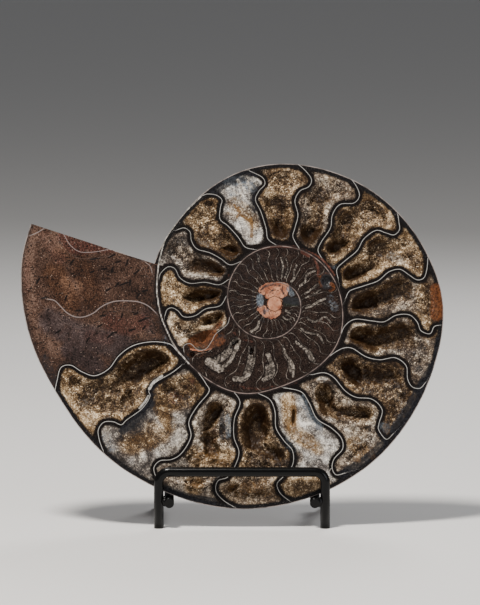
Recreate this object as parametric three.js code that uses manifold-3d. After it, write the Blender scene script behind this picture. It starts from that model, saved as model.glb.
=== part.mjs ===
// The polished half of a Cleoniceras ammonite, leaning back in a black wire stand.
// Millimetres, +Z up. The cut face looks towards -Y, the stand's feet rest on Z = 0.
import * as THREE from 'three';
import { mergeVertices } from 'three/addons/utils/BufferGeometryUtils.js';
import Module from 'manifold-3d';

const wasm = await Module();
wasm.setup();

const degrees = THREE.MathUtils.degToRad;

// Driving sizes of the fossil
const SHELL_WIDTH = 207;        // from the lip of the shell to the far side of the coil
const FACE_LEAN = degrees(9);   // how far the cut face leans back from the vertical
const WIDTH_SHARE = 0.19;       // half thickness of a whorl as a share of its outer radius
const UMBILICUS_FILL = 5;       // rock left in the dimple behind the middle of the coil
const WALL_BAND = 2.1;          // solid stone kept on each side of a septum
const POCKET_SHARE = 0.55;      // depth of a hollow as a share of the stone behind it
const POCKET_TO_WIDTH = 0.8;    // and of the hollow's own width
const POCKET_MOST = 9;          // and the deepest that any hollow goes
const POCKET_LEAST = 2;         // and the shallowest
const WALL_INSET = 0.35;        // room between a crust of crystals and the rim of its hollow
const FLOOR_INSET = 0.35;       // and between its back and the hollow's floor
const CRUST_LIP = 0.25;         // how far a crust stays behind the polished face
const CRUST_LEAST = 1.5;        // how far above its hollow's floor the bottom of its bowl stays
const CRUST_ROUGHNESS = 0.6;    // how much the crystals stand out of their bowl

// Driving sizes of the stand
const ROD_RADIUS = 2.38;        // 3/16 inch rod
const HOOP_HALF_SPAN = 40.6;    // from the stand's middle to the middle of a front leg
const FRONT_BAR_HEIGHT = 27.7;
const FRONT_BEND = 5.1;
const BACK_BAR_HEIGHT = 82;
const BACK_BEND = 9;
const BACK_SPLAY = 1.1;         // the back legs stand this much further apart on each side
const BACK_FOOT_DEPTH = 66;     // from the front legs back to the back feet
const BACK_BAR_DEPTH = 38.4;    // from the front legs back to the bar that holds the fossil
const ARM_HEIGHT = 12.6;
const ARM_FRONT = -2.6;
const ARM_INSET = 5.1;          // from the middle of a front leg to the middle of an arm
const FACE_SETBACK = 0.4;       // where the plane of the cut face meets the floor, behind the front legs

// The photograph's frame: where things on the cut face were read, in its pixels
const PHOTO_SHELL_LEFT = 21.2;
const PHOTO_SHELL_RIGHT = 444;
const PHOTO_FLOOR = 528;
const PHOTO_COIL_CENTRE = [274.7, 303];
const PHOTO_STAND_MIDDLE = 242;
const MM_PER_PIXEL = SHELL_WIDTH / (PHOTO_SHELL_RIGHT - PHOTO_SHELL_LEFT);

// Radius of the shell's outer edge, in photo pixels, at a turn in degrees. The turn starts at the
// mouth of the shell and grows along the coil towards its middle; 0 would point right, 90 up.
const COIL_RADII = [
  [162, 256.5], [170, 257], [180, 252.4], [190, 246], [203, 236], [222, 228], [237, 220], [259, 210],
  [281, 197.6], [304, 186], [320, 178], [338, 172], [360, 168.6], [378, 160.6], [398, 152.7],
  [427, 143.6], [460, 137.4], [484, 131], [499, 127], [510, 126.5], [529, 119.8], [550, 113],
  [575, 105], [608, 97], [634, 84], [655, 78.4], [686, 74.7], [721, 66.8], [777, 59.5], [840, 54],
  [888, 48], [942, 41.6], [989, 35.3], [1045, 28.6], [1104, 24.2], [1224, 16.5],
];
const MOUTH_TURN = 162;
const LAST_TURN = MOUTH_TURN + 360;
const LIP_TURN = 499;           // from here to the mouth the rim keeps its shell, so it is rounder
const LIP_RADIUS = 127;

// The septa, the walls between the chambers, from the inside of the whorl to its outer edge
const SEPTA = [
  [[176, 350], [169, 344], [152, 342], [133, 346], [119, 356], [109, 369], [95, 376], [82, 372],
    [71, 365.5], [61, 368], [57, 382], [54, 396]],
  [[181, 366], [172, 373], [155, 383], [149, 391], [150, 397], [142, 409], [127, 420], [121.5, 425],
    [113.5, 422], [104, 422.5], [98.5, 430], [99.5, 440], [103, 450]],
  [[200, 375], [206, 384], [209, 392], [197, 407], [189, 422], [191, 437], [182, 453], [172, 459.5],
    [160, 461], [154, 468], [156, 477]],
  [[230, 388], [240, 402], [234.5, 419], [234, 437], [239, 452], [235.5, 465], [228, 477],
    [218, 481], [216, 491], [223, 500], [234, 507]],
  [[259, 394], [270, 400], [275, 412], [276, 428], [284, 441], [292.5, 451], [292.5, 465],
    [283, 477], [277, 484], [280, 493], [288, 500]],
  [[284, 388], [301, 392], [309, 403], [317, 419], [331, 428], [341, 438], [342.5, 449], [334, 459],
    [332, 468], [336, 475], [345, 473]],
  [[312, 375], [324, 373], [334, 378], [345, 391], [356, 397.5], [372, 399.5], [382, 410],
    [379, 423], [378.5, 430], [386, 439.5], [393, 434]],
  [[330, 356], [341.5, 349], [352, 348.5], [366, 357], [380, 360], [395, 358], [406, 366],
    [407.5, 379], [412, 387], [420, 388.5], [425, 383]],
  [[340, 337], [345, 326], [355, 319.5], [371, 321], [384, 322], [396, 315.5], [409, 315],
    [417, 322], [421, 331], [430, 334], [434, 327], [439, 325.5]],
  [[346, 298], [350, 291], [364, 286], [378, 281], [389, 272], [400, 269.5], [409, 275], [417, 280],
    [424, 278], [427, 269], [428, 258]],
  [[338, 278], [337, 269], [345, 261], [357, 251], [364, 239], [376, 230.5], [386, 233], [394, 235],
    [399.5, 230], [399, 222], [398, 215]],
  [[321, 257], [318, 250], [322, 241], [330.5, 228], [332.5, 215], [340, 204.5], [354, 203],
    [359.5, 196], [357, 187], [350, 177]],
  [[299, 248], [293, 237], [295, 228], [298, 215], [295, 201], [300, 191], [309, 186.5],
    [311.5, 179], [305, 170], [298, 164]],
  [[276, 245], [268, 239], [266, 228], [261, 212], [255.5, 200], [259, 191], [265, 184], [262, 177],
    [250, 171]],
  [[254, 249.5], [245, 247], [238, 237], [228, 226], [220, 219], [220.5, 207], [222, 200],
    [216, 195], [207, 194], [202, 196]],
  [[240, 262], [230, 265], [221, 259], [210, 253], [197, 249], [191.5, 241], [190, 232], [184, 228],
    [177, 230]],
  [[228, 280], [219, 285], [205, 282.5], [190, 283.5], [180, 278], [175, 269], [168, 267],
    [161, 273], [159, 278]],
  [[226, 297], [220, 306], [206, 309], [195, 316], [184, 317], [178, 311], [172, 308], [167, 310],
    [165, 316]],
  [[229.5, 318], [227, 325], [216, 334], [212, 341], [206, 349], [198, 350], [190.5, 344],
    [184, 346], [184, 352]],
];
const FIRST_SEPTUM_TURN = 205;
const TURN_BETWEEN_SEPTA = 19;

// The hollows: for each chamber the deep spots, each from one photo point to another, with its
// radius in pixels and how much of the hollow's depth it takes. Solid chambers have none.
const HOLLOWS = {
  1: [[[130, 371], [158, 359], 15, 1], [[129, 405], [129, 405], 5, 0.5], [[72, 380], [72, 382], 6, 0.4]],
  3: [[[213, 412], [207, 425], 8, 0.9], [[208, 436], [213, 452], 7, 0.9]],
  4: [[[256, 412], [254, 436], 12, 1], [[262, 448], [280, 455], 7, 0.8], [[229, 487], [233, 487], 4, 0.5]],
  6: [[[324, 394], [328, 412], 6, 1], [[336, 412], [366, 414], 6, 0.8]],
  7: [[[350, 367], [357, 380], 7, 1], [[364, 378], [392, 376], 5, 0.6]],
  8: [[[358, 334], [374, 342], 11, 1], [[380, 336], [405, 332], 12, 0.7]],
  9: [[[358, 304], [370, 300], 9, 1], [[376, 298], [396, 292], 11, 0.6]],
  10: [[[350, 273], [358, 270], 9, 1], [[366, 272], [376, 268], 6, 0.8], [[375, 244], [380, 256], 8, 0.7]],
  11: [[[332, 246], [342, 248], 8, 1], [[345, 213], [346, 218], 7, 0.6], [[353, 228], [353, 244], 4, 0.5]],
  12: [[[308, 232], [320, 236], 9, 0.9], [[316, 200], [318, 222], 6, 0.5]],
  13: [[[276, 228], [282, 236], 8, 1], [[276, 205], [284, 222], 10, 0.5]],
  15: [[[222, 252], [237, 252], 6, 1], [[212, 236], [234, 238], 10, 0.5], [[208, 204], [214, 203], 4, 0.4]],
  16: [[[196, 271], [222, 270], 7, 0.9]],
  17: [[[196, 297], [218, 295], 7, 1]],
  18: [[[204, 318], [218, 320], 9, 0.9]],
};
// Chamber 2 is solid but for a hollow near its inner end, given as a share of the chamber's length
const PART_HOLLOWS = { 2: { deep: [[[174, 391], [192, 393], 10, 0.8]], from: 0.02, to: 0.27 } };
// Small open pits away from the big chambers: photo point, half width and half height in pixels, depth
const PITS = [
  [[235, 343], 4.5, 5.5, 2.2],
  [[251.5, 352], 2.2, 4.5, 1.8],
  [[327, 281], 6.5, 6, 1.6],
  [[192.5, 355], 3.2, 4.2, 2],
  [[293.5, 418], 2.4, 10, 3],
];

// Colours of stone and stand
const STONE = new THREE.MeshStandardMaterial({ color: 0x5f4c40, roughness: 0.3 });
const CRYSTAL = new THREE.MeshStandardMaterial({ color: 0xa8875c, roughness: 0.45 });
const ENAMEL = new THREE.MeshStandardMaterial({ color: 0x0c0c0d, roughness: 0.25, metalness: 0.1 });

// Points on the cut face. A face point is in millimetres from the middle of the coil, x right, y up.
const facePoint = ([px, py]) => new THREE.Vector2(
  (px - PHOTO_COIL_CENTRE[0]) * MM_PER_PIXEL,
  (PHOTO_COIL_CENTRE[1] - py) * MM_PER_PIXEL,
);

// A smooth curve through hand-read pairs, with each pair's slope taken from its neighbours
function smoothThrough(pairs) {
  const slopes = pairs.map(([x, y], i) => {
    const [x0, y0] = pairs[Math.max(i - 1, 0)];
    const [x1, y1] = pairs[Math.min(i + 1, pairs.length - 1)];
    return (y1 - y0) / (x1 - x0);
  });
  return (x) => {
    const found = pairs.findIndex(([knot]) => knot > x);
    const i = found < 0 ? pairs.length - 2 : Math.max(found - 1, 0);
    const [x0, y0] = pairs[i];
    const [x1, y1] = pairs[i + 1];
    const t = THREE.MathUtils.clamp((x - x0) / (x1 - x0), 0, 1);
    const bend = t * t * (3 - 2 * t);
    const ease = t * (1 - t) * (x1 - x0);
    return y0 + (y1 - y0) * bend + ease * ((1 - t) * slopes[i] - t * slopes[i + 1]);
  };
}

const coilRadiusInPixels = smoothThrough(COIL_RADII);
const coilRadius = (turn) => coilRadiusInPixels(turn) * MM_PER_PIXEL;
const rimRadius = (turn) => (turn < LIP_TURN ? coilRadius(turn) : LIP_RADIUS * MM_PER_PIXEL);

// A turn and a height in the whorl, 0 at its inner wall and 1 at its outer edge, as a face point
function spiralPoint(turn, height) {
  const inner = coilRadius(turn + 360);
  const radius = inner + height * (coilRadius(turn) - inner);
  return new THREE.Vector2(radius * Math.cos(degrees(turn)), radius * Math.sin(degrees(turn)));
}

// The same the other way round; near is a turn close to the answer
function turnAndHeight(point, near) {
  const angle = THREE.MathUtils.radToDeg(Math.atan2(point.y, point.x));
  const turn = angle + 360 * Math.round((near - angle) / 360);
  const inner = coilRadius(turn + 360);
  return { turn, height: (point.length() - inner) / (coilRadius(turn) - inner) };
}

// Across a whorl the shell swells from the umbilicus to its flank and closes at a narrow edge
const SEAM = 0.24;
const SHOULDER = 0.31;
const CREST = 0.42;
const SHOULDER_LEVEL = 0.95;
const FLANK_ROUNDNESS = 2.2;
const EDGE_SHARPNESS = 0.62;
function flankShare(share) {
  if (share >= 1 || share <= SEAM) return 0;
  if (share < SHOULDER) return SHOULDER_LEVEL * THREE.MathUtils.smoothstep(share, SEAM, SHOULDER);
  if (share < CREST) return 1 - (1 - SHOULDER_LEVEL) * ((CREST - share) / (CREST - SHOULDER)) ** 2;
  return (1 - ((share - CREST) / (1 - CREST)) ** FLANK_ROUNDNESS) ** EDGE_SHARPNESS;
}

// Thickness of the stone behind a face point: the outer whorl hides all but the inner ones' middles
function thickness(turn, radius) {
  let most = radius < SHOULDER * rimRadius(turn) ? UMBILICUS_FILL : 0;
  for (let whorl = 0; whorl < 3; whorl += 1) {
    const edge = whorl === 0 ? rimRadius(turn) : coilRadius(turn + 360 * whorl);
    most = Math.max(most, WIDTH_SHARE * edge * flankShare(radius / edge));
  }
  return most;
}

// Thickness at a face point given as a vector
function thicknessAt(point) {
  const angle = THREE.MathUtils.radToDeg(Math.atan2(point.y, point.x));
  const turn = angle + 360 * Math.ceil((MOUTH_TURN - angle) / 360);
  return thickness(turn, point.length());
}

// Closed meshes as solids for joining and cutting, and back
function solidOf(geometry) {
  const bare = geometry.clone();
  bare.deleteAttribute('normal');
  bare.deleteAttribute('uv');
  const merged = mergeVertices(bare, 1e-4);
  return new wasm.Manifold(new wasm.Mesh({
    numProp: 3,
    vertProperties: Float32Array.from(merged.attributes.position.array),
    triVerts: Uint32Array.from(merged.index.array),
  }));
}

function geometryOf(solid) {
  const mesh = solid.getMesh();
  const geometry = new THREE.BufferGeometry();
  geometry.setAttribute('position', new THREE.BufferAttribute(Float32Array.from(mesh.vertProperties), 3));
  geometry.setIndex(new THREE.BufferAttribute(Uint32Array.from(mesh.triVerts), 1));
  geometry.computeVertexNormals();
  return geometry;
}

// The triangles that fill a flat loop
const capOf = (loop) => THREE.ShapeUtils.triangulateShape(loop, []);

// A closed body through loops of points, each loop as long as the next, with a cap at each end
function loft(loops, firstCap, lastCap = firstCap) {
  const size = loops[0].length;
  const vertices = loops.flat();
  const faces = [];
  for (let ring = 0; ring + 1 < loops.length; ring += 1) {
    for (let i = 0; i < size; i += 1) {
      const a = ring * size + i;
      const b = ring * size + ((i + 1) % size);
      faces.push([a, b, b + size], [a, b + size, a + size]);
    }
  }
  const end = (loops.length - 1) * size;
  for (const [a, b, c] of firstCap) faces.push([c, b, a]);
  for (const cap of lastCap) faces.push(cap.map((corner) => corner + end));
  const geometry = new THREE.BufferGeometry().setFromPoints(vertices);
  geometry.setIndex(faces.flat());
  return facingOut(geometry);
}

// Turns a closed body the right way out
function facingOut(geometry) {
  const place = geometry.attributes.position;
  const index = geometry.index.array;
  const [a, b, c] = [new THREE.Vector3(), new THREE.Vector3(), new THREE.Vector3()];
  let volume = 0;
  for (let i = 0; i < index.length; i += 3) {
    a.fromBufferAttribute(place, index[i]);
    b.fromBufferAttribute(place, index[i + 1]);
    c.fromBufferAttribute(place, index[i + 2]);
    volume += a.dot(b.cross(c));
  }
  if (volume < 0) geometry.setIndex(Array.from(index).reverse());
  geometry.computeVertexNormals();
  return geometry;
}

// The coil of stone. Its section in a half plane through the coil's middle is swept round.
const MIDDLE_RADIUS = 3;
const SECTION_SHARES = [0.1, 0.18, 0.25, 0.31, 0.42, 0.58, 0.73, 0.85, 0.93, 0.98];
const TURN_STEP = 6;

function coilSection(turn) {
  const rim = rimRadius(turn);
  const behind = [MIDDLE_RADIUS, ...SECTION_SHARES.map((share) => share * rim)]
    .map((radius) => [radius, -thickness(turn, radius)]);
  const outline = [...behind, [rim, 0], [MIDDLE_RADIUS, 0]];
  const [across, up] = [Math.cos(degrees(turn)), Math.sin(degrees(turn))];
  return outline.map(([radius, depth]) => new THREE.Vector3(radius * across, radius * up, depth));
}

function coilPart(from, to) {
  const count = Math.round((to - from) / TURN_STEP);
  const turns = Array.from({ length: count + 1 }, (_, i) => from + ((to - from) * i) / count);
  const sections = turns.map(coilSection);
  const flat = (point) => new THREE.Vector2(Math.hypot(point.x, point.y), point.z);
  const caps = [sections[0], sections[count]].map((section) => capOf(section.map(flat)));
  return solidOf(loft(sections, ...caps));
}

function coilSolid() {
  const half = MOUTH_TURN + 180;
  const overlap = 0.4;
  const core = new THREE.CylinderGeometry(MIDDLE_RADIUS + 0.5, MIDDLE_RADIUS + 0.5, UMBILICUS_FILL, 12);
  core.rotateX(Math.PI / 2).translate(0, 0, -UMBILICUS_FILL / 2);
  return coilPart(MOUTH_TURN, half + overlap)
    .add(coilPart(half, LAST_TURN + overlap))
    .add(solidOf(core));
}

// Septum curves on the face, and the stretch of each that bounds a chamber's hollow
const septumCurves = SEPTA.map((points) => new THREE.SplineCurve(points.map(facePoint)));
const septumTurn = (number) => FIRST_SEPTUM_TURN + TURN_BETWEEN_SEPTA * (number - 1);
const INNER_MARGIN = 0.08;
const OUTER_MARGIN = 0.92;
const MOST_MARGIN = 0.42;       // a wall's band never takes more of a chamber's width than this

const septumReach = septumCurves.map((curve, i) => {
  const shares = Array.from({ length: 101 }, (_, k) => k / 100);
  const inside = shares.filter((share) => {
    const { height } = turnAndHeight(curve.getPointAt(share), septumTurn(i + 1));
    return height > INNER_MARGIN && height < OUTER_MARGIN;
  });
  return [inside[0], inside[inside.length - 1]];
});

// A point of chamber `number`: across from this septum to the next, along from the inside outwards.
// The walls' solid bands are left out, so 0 and 1 are the edges of the hollow.
function chamberPoint(number, across, along) {
  const walls = [number, number + 1].map((septum) => {
    const curve = septumCurves[septum - 1];
    const [first, last] = septumReach[septum - 1];
    const share = first + (last - first) * along;
    return { point: curve.getPointAt(share), way: curve.getTangentAt(share), septum };
  });
  const gap = walls[1].point.clone().sub(walls[0].point);
  const margins = walls.map(({ way }) => Math.min(WALL_BAND / Math.abs(gap.cross(way)), MOST_MARGIN));
  const share = margins[0] + (1 - margins[0] - margins[1]) * across;
  const [start, end] = walls.map(({ point, septum }) => turnAndHeight(point, septumTurn(septum)));
  const { lerp } = THREE.MathUtils;
  return spiralPoint(lerp(start.turn, end.turn, share), lerp(start.height, end.height, share));
}

// The edge of a hollow, walked round the chamber with its corners rounded off
const ALONG_STEPS = 8;
const SHORT_ALONG_STEPS = 4;    // for a hollow that takes less than half of its chamber
const ACROSS_STEPS = 3;
const CORNER_ACROSS = 0.11;     // how far a corner draws in, as a share of the width
const CORNER_ALONG = 0.028;     // and of the length
function hollowEdge(from, to) {
  const across = Array.from({ length: ACROSS_STEPS - 1 }, (_, i) => (i + 1) / ACROSS_STEPS);
  const steps = to - from < 0.5 ? SHORT_ALONG_STEPS : ALONG_STEPS;
  const side = Array.from({ length: steps + 1 }, (_, i) => [
    i === 0 || i === steps ? CORNER_ACROSS : 0,
    THREE.MathUtils.clamp(i / steps, CORNER_ALONG, 1 - CORNER_ALONG),
  ]);
  const loop = [
    ...side,
    ...across.map((share) => [share, 1]),
    ...side.map(([x, y]) => [1 - x, 1 - y]),
    ...across.map((share) => [1 - share, 0]),
  ];
  return loop.map(([x, y]) => [x, from + (to - from) * y]);
}

// Loops inside the edge: shrunk towards the hollow's middle line by a share of its width. The ends
// draw in and the middle stays, so that a loop follows the bends of the walls.
const END_DRAW = 0.28;
const WHOLE_DRAW = 0.2;
function shrunk(edge, amount) {
  const low = Math.min(...edge.map(([, y]) => y));
  const high = Math.max(...edge.map(([, y]) => y));
  return edge.map(([x, y]) => {
    const fromMiddle = (2 * y - low - high) / (high - low);
    const drawn = fromMiddle * (1 - amount * (END_DRAW * fromMiddle ** 2 + WHOLE_DRAW * amount));
    return [0.5 + (x - 0.5) * (1 - amount), (low + high + drawn * (high - low)) / 2];
  });
}

// How deep the crystals' surface lies at a point, as a share of the hollow's depth. A deep spot is
// level up to its inner radius and has come up to the rest by its outer one.
const SHALLOW_SHARE = 0.3;
const SPOT_INNER = 0.6;
const SPOT_OUTER = 1.5;
function hollowShare(point, deep) {
  let share = SHALLOW_SHARE;
  for (const [from, to, radius, reach] of deep) {
    const line = new THREE.Line3(
      new THREE.Vector3(...facePoint(from).toArray(), 0),
      new THREE.Vector3(...facePoint(to).toArray(), 0),
    );
    const here = new THREE.Vector3(point.x, point.y, 0);
    const nearest = line.closestPointToPoint(here, true, new THREE.Vector3());
    const away = nearest.distanceTo(here) / (radius * MM_PER_PIXEL);
    share = Math.max(share, reach * (1 - THREE.MathUtils.smoothstep(away, SPOT_INNER, SPOT_OUTER)));
  }
  return share;
}

function pocketDepth(number, [across, along]) {
  const width = chamberPoint(number, 1, along).distanceTo(chamberPoint(number, 0, along));
  const behind = POCKET_SHARE * thicknessAt(chamberPoint(number, across, along));
  return THREE.MathUtils.clamp(Math.min(behind, POCKET_TO_WIDTH * width), POCKET_LEAST, POCKET_MOST);
}

const behindFace = (point, depth) => new THREE.Vector3(point.x, point.y, -depth);

// A loop inside a chamber: its points on the face, and the depth of the hollow at each
function hollowLoop(number, edge, amount) {
  const places = shrunk(edge, amount);
  return {
    points: rounded(places.map(([across, along]) => chamberPoint(number, across, along))),
    depths: places.map((place) => pocketDepth(number, place)),
  };
}

// The triangles that fill such a loop, rungs of a ladder from one wall of the chamber to the other
function rungs({ length }) {
  const half = length / 2;
  const last = half - ACROSS_STEPS;
  const faces = [[0, length - 2, length - 1], [0, half + last, length - 2]];
  for (let i = 0; i < last; i += 1) {
    const across = half + last - i;
    faces.push([i, i + 1, across], [i + 1, across - 1, across]);
  }
  return [...faces, [last, last + 1, half], [last + 1, last + 2, half]];
}

// The hollow cut into the stone: its rim, a straight wall behind it, and a floor that keeps stone
// behind it
const FLOOR_SHRINK = 0.16;
const STRAIGHT_WALL = 1.2;
const PAST_FACE = 1;            // cuts start this far in front of the face
function hollowCut(number, from, to) {
  const edge = hollowEdge(from, to);
  const rim = hollowLoop(number, edge, 0);
  const floor = hollowLoop(number, edge, FLOOR_SHRINK);
  return solidOf(loft([
    rim.points.map((point) => behindFace(point, -PAST_FACE)),
    rim.points.map((point) => behindFace(point, STRAIGHT_WALL)),
    floor.points.map((point, i) => behindFace(point, floor.depths[i])),
  ], rungs(rim.points)));
}

// A loop with its tips rounded off: each point goes part of the way to its neighbours' middle
const TIP_ROUNDING = 0.45;
function rounded(loop) {
  return loop.map((point, i) => {
    const before = loop[(i + loop.length - 1) % loop.length];
    const after = loop[(i + 1) % loop.length];
    return point.clone().lerp(before.clone().lerp(after, 0.5), TIP_ROUNDING);
  });
}

// A loop of face points moved inwards by a distance
function movedIn(loop, distance) {
  const inwards = THREE.ShapeUtils.isClockWise(loop) ? -1 : 1;
  return loop.map((point, i) => {
    const before = loop[(i + loop.length - 1) % loop.length];
    const after = loop[(i + 1) % loop.length];
    const way = after.clone().sub(before).normalize();
    return new THREE.Vector2(point.x - inwards * way.y * distance, point.y + inwards * way.x * distance);
  });
}

// Repeatable scatter for the crystals, from 0 to 1
function scatter(seed) {
  const value = Math.sin(seed * 127.1 + 311.7) * 43758.5453;
  return value - Math.floor(value);
}

// A crust of crystals: a liner of the hollow whose open side is a rough bowl of flat facets. Its
// outermost loop of facets lies right in front of the edge of its back.
const CRUST_LOOPS = [FLOOR_SHRINK, 0.38, 0.56, 0.72];
const CRUST_BANK = 0.55;        // the crystals along the rim reach only this share of the depth
function crustGeometry(number, deep, from, to) {
  const edge = hollowEdge(from, to);
  const wall = movedIn(hollowLoop(number, edge, 0).points, WALL_INSET);
  const floor = hollowLoop(number, edge, FLOOR_SHRINK);
  const foot = movedIn(floor.points, FLOOR_INSET);
  const back = [
    wall.map((point, i) => behindFace(point, CRUST_LIP + 0.3 * scatter(number * 57 + i))),
    wall.map((point) => behindFace(point, STRAIGHT_WALL - 0.2)),
    foot.map((point, i) => behindFace(point, floor.depths[i] - 2 * FLOOR_INSET)),
  ];
  const bowl = CRUST_LOOPS.map((amount, ring) => {
    const { points, depths } = hollowLoop(number, edge, amount);
    return (ring === 0 ? foot : points).map((point, i) => {
      const stand = CRUST_ROUGHNESS * (scatter(number * 91 + ring * 37 + i * 3) - 0.5) * (i % 2 ? 1 : -1);
      const share = hollowShare(point, deep) * THREE.MathUtils.lerp(CRUST_BANK, 1, Math.min(amount * 2, 1));
      const depth = share * (depths[i] - POCKET_LEAST) + stand;
      return behindFace(point, THREE.MathUtils.clamp(depth, CRUST_LIP + 0.1, depths[i] - CRUST_LEAST));
    });
  });
  return loft([...bowl.reverse(), ...back], rungs(foot));
}

// A small open pit, an oval cone with a flat end
function pitCut([centre, halfWidth, halfHeight, depth]) {
  const middle = facePoint(centre);
  const sides = 10;
  const oval = (share, level) => Array.from({ length: sides }, (_, i) => {
    const angle = (i / sides) * 2 * Math.PI;
    return new THREE.Vector3(
      middle.x + Math.cos(angle) * halfWidth * share * MM_PER_PIXEL,
      middle.y + Math.sin(angle) * halfHeight * share * MM_PER_PIXEL,
      -level,
    );
  });
  const loops = [oval(1, -PAST_FACE), oval(1, 0.3), oval(0.5, depth)];
  return solidOf(loft(loops, capOf(loops[0])));
}

// Every hollow chamber with its deep spots and the stretch of the chamber that it takes
const hollowChambers = [
  ...Object.entries(HOLLOWS).map(([number, deep]) => ({ number: Number(number), deep, from: 0, to: 1 })),
  ...Object.entries(PART_HOLLOWS).map(([number, hollow]) => ({ number: Number(number), ...hollow })),
];

function ammoniteHalf() {
  let stone = coilSolid();
  for (const { number, from, to } of hollowChambers) stone = stone.subtract(hollowCut(number, from, to));
  for (const pit of PITS) stone = stone.subtract(pitCut(pit));
  return geometryOf(stone);
}

// A bent rod's route: straight runs with a few stations in each bend, and true tangents at each
class RodRoute extends THREE.Curve {
  constructor(corners, bend) {
    super();
    this.stations = [{ place: corners[0], way: corners[1].clone().sub(corners[0]).normalize() }];
    for (let i = 1; i + 1 < corners.length; i += 1) {
      this.turnAt(corners[i - 1], corners[i], corners[i + 1], bend);
    }
    const last = corners[corners.length - 1];
    this.stations.push({ place: last, way: last.clone().sub(corners[corners.length - 2]).normalize() });
  }

  turnAt(before, corner, after, bend) {
    const [into, out] = [corner.clone().sub(before).normalize(), after.clone().sub(corner).normalize()];
    const swing = into.angleTo(out);
    const side = out.clone().addScaledVector(into, -out.dot(into)).normalize();
    const start = corner.clone().addScaledVector(into, -bend * Math.tan(swing / 2));
    const steps = 5;
    for (let i = 0; i <= steps; i += 1) {
      const angle = (swing * i) / steps;
      const place = start.clone()
        .addScaledVector(into, bend * Math.sin(angle))
        .addScaledVector(side, bend * (1 - Math.cos(angle)));
      const way = into.clone().multiplyScalar(Math.cos(angle)).addScaledVector(side, Math.sin(angle));
      this.stations.push({ place, way });
    }
  }

  get steps() { return this.stations.length - 1; }

  getPoint(share) { return this.stations[Math.round(share * this.steps)].place.clone(); }

  getPointAt(share) { return this.getPoint(share); }

  getTangentAt(share) { return this.stations[Math.round(share * this.steps)].way.clone(); }
}

function rodGeometry(corners, bend) {
  const route = new RodRoute(corners, bend);
  const section = new THREE.Shape().absarc(0, 0, ROD_RADIUS, 0, 2 * Math.PI);
  return new THREE.ExtrudeGeometry(section, {
    extrudePath: route, steps: route.steps, curveSegments: 6, bevelEnabled: false,
  });
}

// An inverted U: two feet on the floor and a bar across. The legs start a little below the floor
// along their own line, and the floor cuts them level, so each foot is a whole flat face.
const UNDER_FLOOR = 2;
function hoopGeometry({ halfSpan, footDepth, barDepth, barHeight, bend }) {
  const heel = footDepth + ((footDepth - barDepth) / barHeight) * UNDER_FLOOR;
  return levelFeet(rodGeometry([
    new THREE.Vector3(-halfSpan, heel, -UNDER_FLOOR),
    new THREE.Vector3(-halfSpan, barDepth, barHeight),
    new THREE.Vector3(halfSpan, barDepth, barHeight),
    new THREE.Vector3(halfSpan, heel, -UNDER_FLOOR),
  ], bend));
}

function named(name, geometry, material) {
  const mesh = new THREE.Mesh(geometry, material);
  mesh.name = name;
  return mesh;
}

// What is left of a body above the floor
function levelFeet(geometry) {
  const [wide, deep] = [2 * SHELL_WIDTH, 20];
  const below = new THREE.BoxGeometry(wide, wide, deep).translate(0, 0, -deep / 2);
  return geometryOf(solidOf(geometry).subtract(solidOf(below)));
}

function standArm(side) {
  const front = side * (HOOP_HALF_SPAN - ARM_INSET);
  const back = side * (HOOP_HALF_SPAN + BACK_SPLAY - ARM_INSET);
  return rodGeometry([
    new THREE.Vector3(front, ARM_FRONT, ARM_HEIGHT),
    new THREE.Vector3(back, BACK_FOOT_DEPTH - 1, ARM_HEIGHT),
  ], 1);
}

function wireStand() {
  const stand = new THREE.Group();
  stand.position.x = (PHOTO_STAND_MIDDLE - (PHOTO_SHELL_LEFT + PHOTO_SHELL_RIGHT) / 2) * MM_PER_PIXEL;
  const front = {
    halfSpan: HOOP_HALF_SPAN,
    footDepth: 0,
    barDepth: 0,
    barHeight: FRONT_BAR_HEIGHT,
    bend: FRONT_BEND,
  };
  const back = {
    halfSpan: HOOP_HALF_SPAN + BACK_SPLAY,
    footDepth: BACK_FOOT_DEPTH,
    barDepth: BACK_BAR_DEPTH,
    barHeight: BACK_BAR_HEIGHT,
    bend: BACK_BEND,
  };
  stand.add(
    named('stand_front_hoop', hoopGeometry(front), ENAMEL),
    named('stand_back_hoop', hoopGeometry(back), ENAMEL),
    named('stand_left_arm', standArm(-1), ENAMEL),
    named('stand_right_arm', standArm(1), ENAMEL),
  );
  return stand;
}

function fossil() {
  const group = new THREE.Group();
  const middleAlongFace = (PHOTO_FLOOR - PHOTO_COIL_CENTRE[1]) * MM_PER_PIXEL;
  group.position.set(
    (PHOTO_COIL_CENTRE[0] - (PHOTO_SHELL_LEFT + PHOTO_SHELL_RIGHT) / 2) * MM_PER_PIXEL,
    FACE_SETBACK + middleAlongFace * Math.sin(FACE_LEAN),
    middleAlongFace * Math.cos(FACE_LEAN),
  );
  group.rotation.x = Math.PI / 2 - FACE_LEAN;
  group.add(named('ammonite_half', ammoniteHalf(), STONE));
  for (const { number, deep, from, to } of hollowChambers) {
    const name = `crystals_${String(number).padStart(2, '0')}`;
    group.add(named(name, crustGeometry(number, deep, from, to), CRYSTAL));
  }
  return group;
}

const object = new THREE.Group();
object.add(fossil(), wireStand());

// The origin is at the middle of the box that holds the whole object, on the floor
const box = new THREE.Box3().setFromObject(object, true);
object.position.set(-(box.min.x + box.max.x) / 2, -(box.min.y + box.max.y) / 2, -box.min.z);

export default object;
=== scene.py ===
import math

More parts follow.
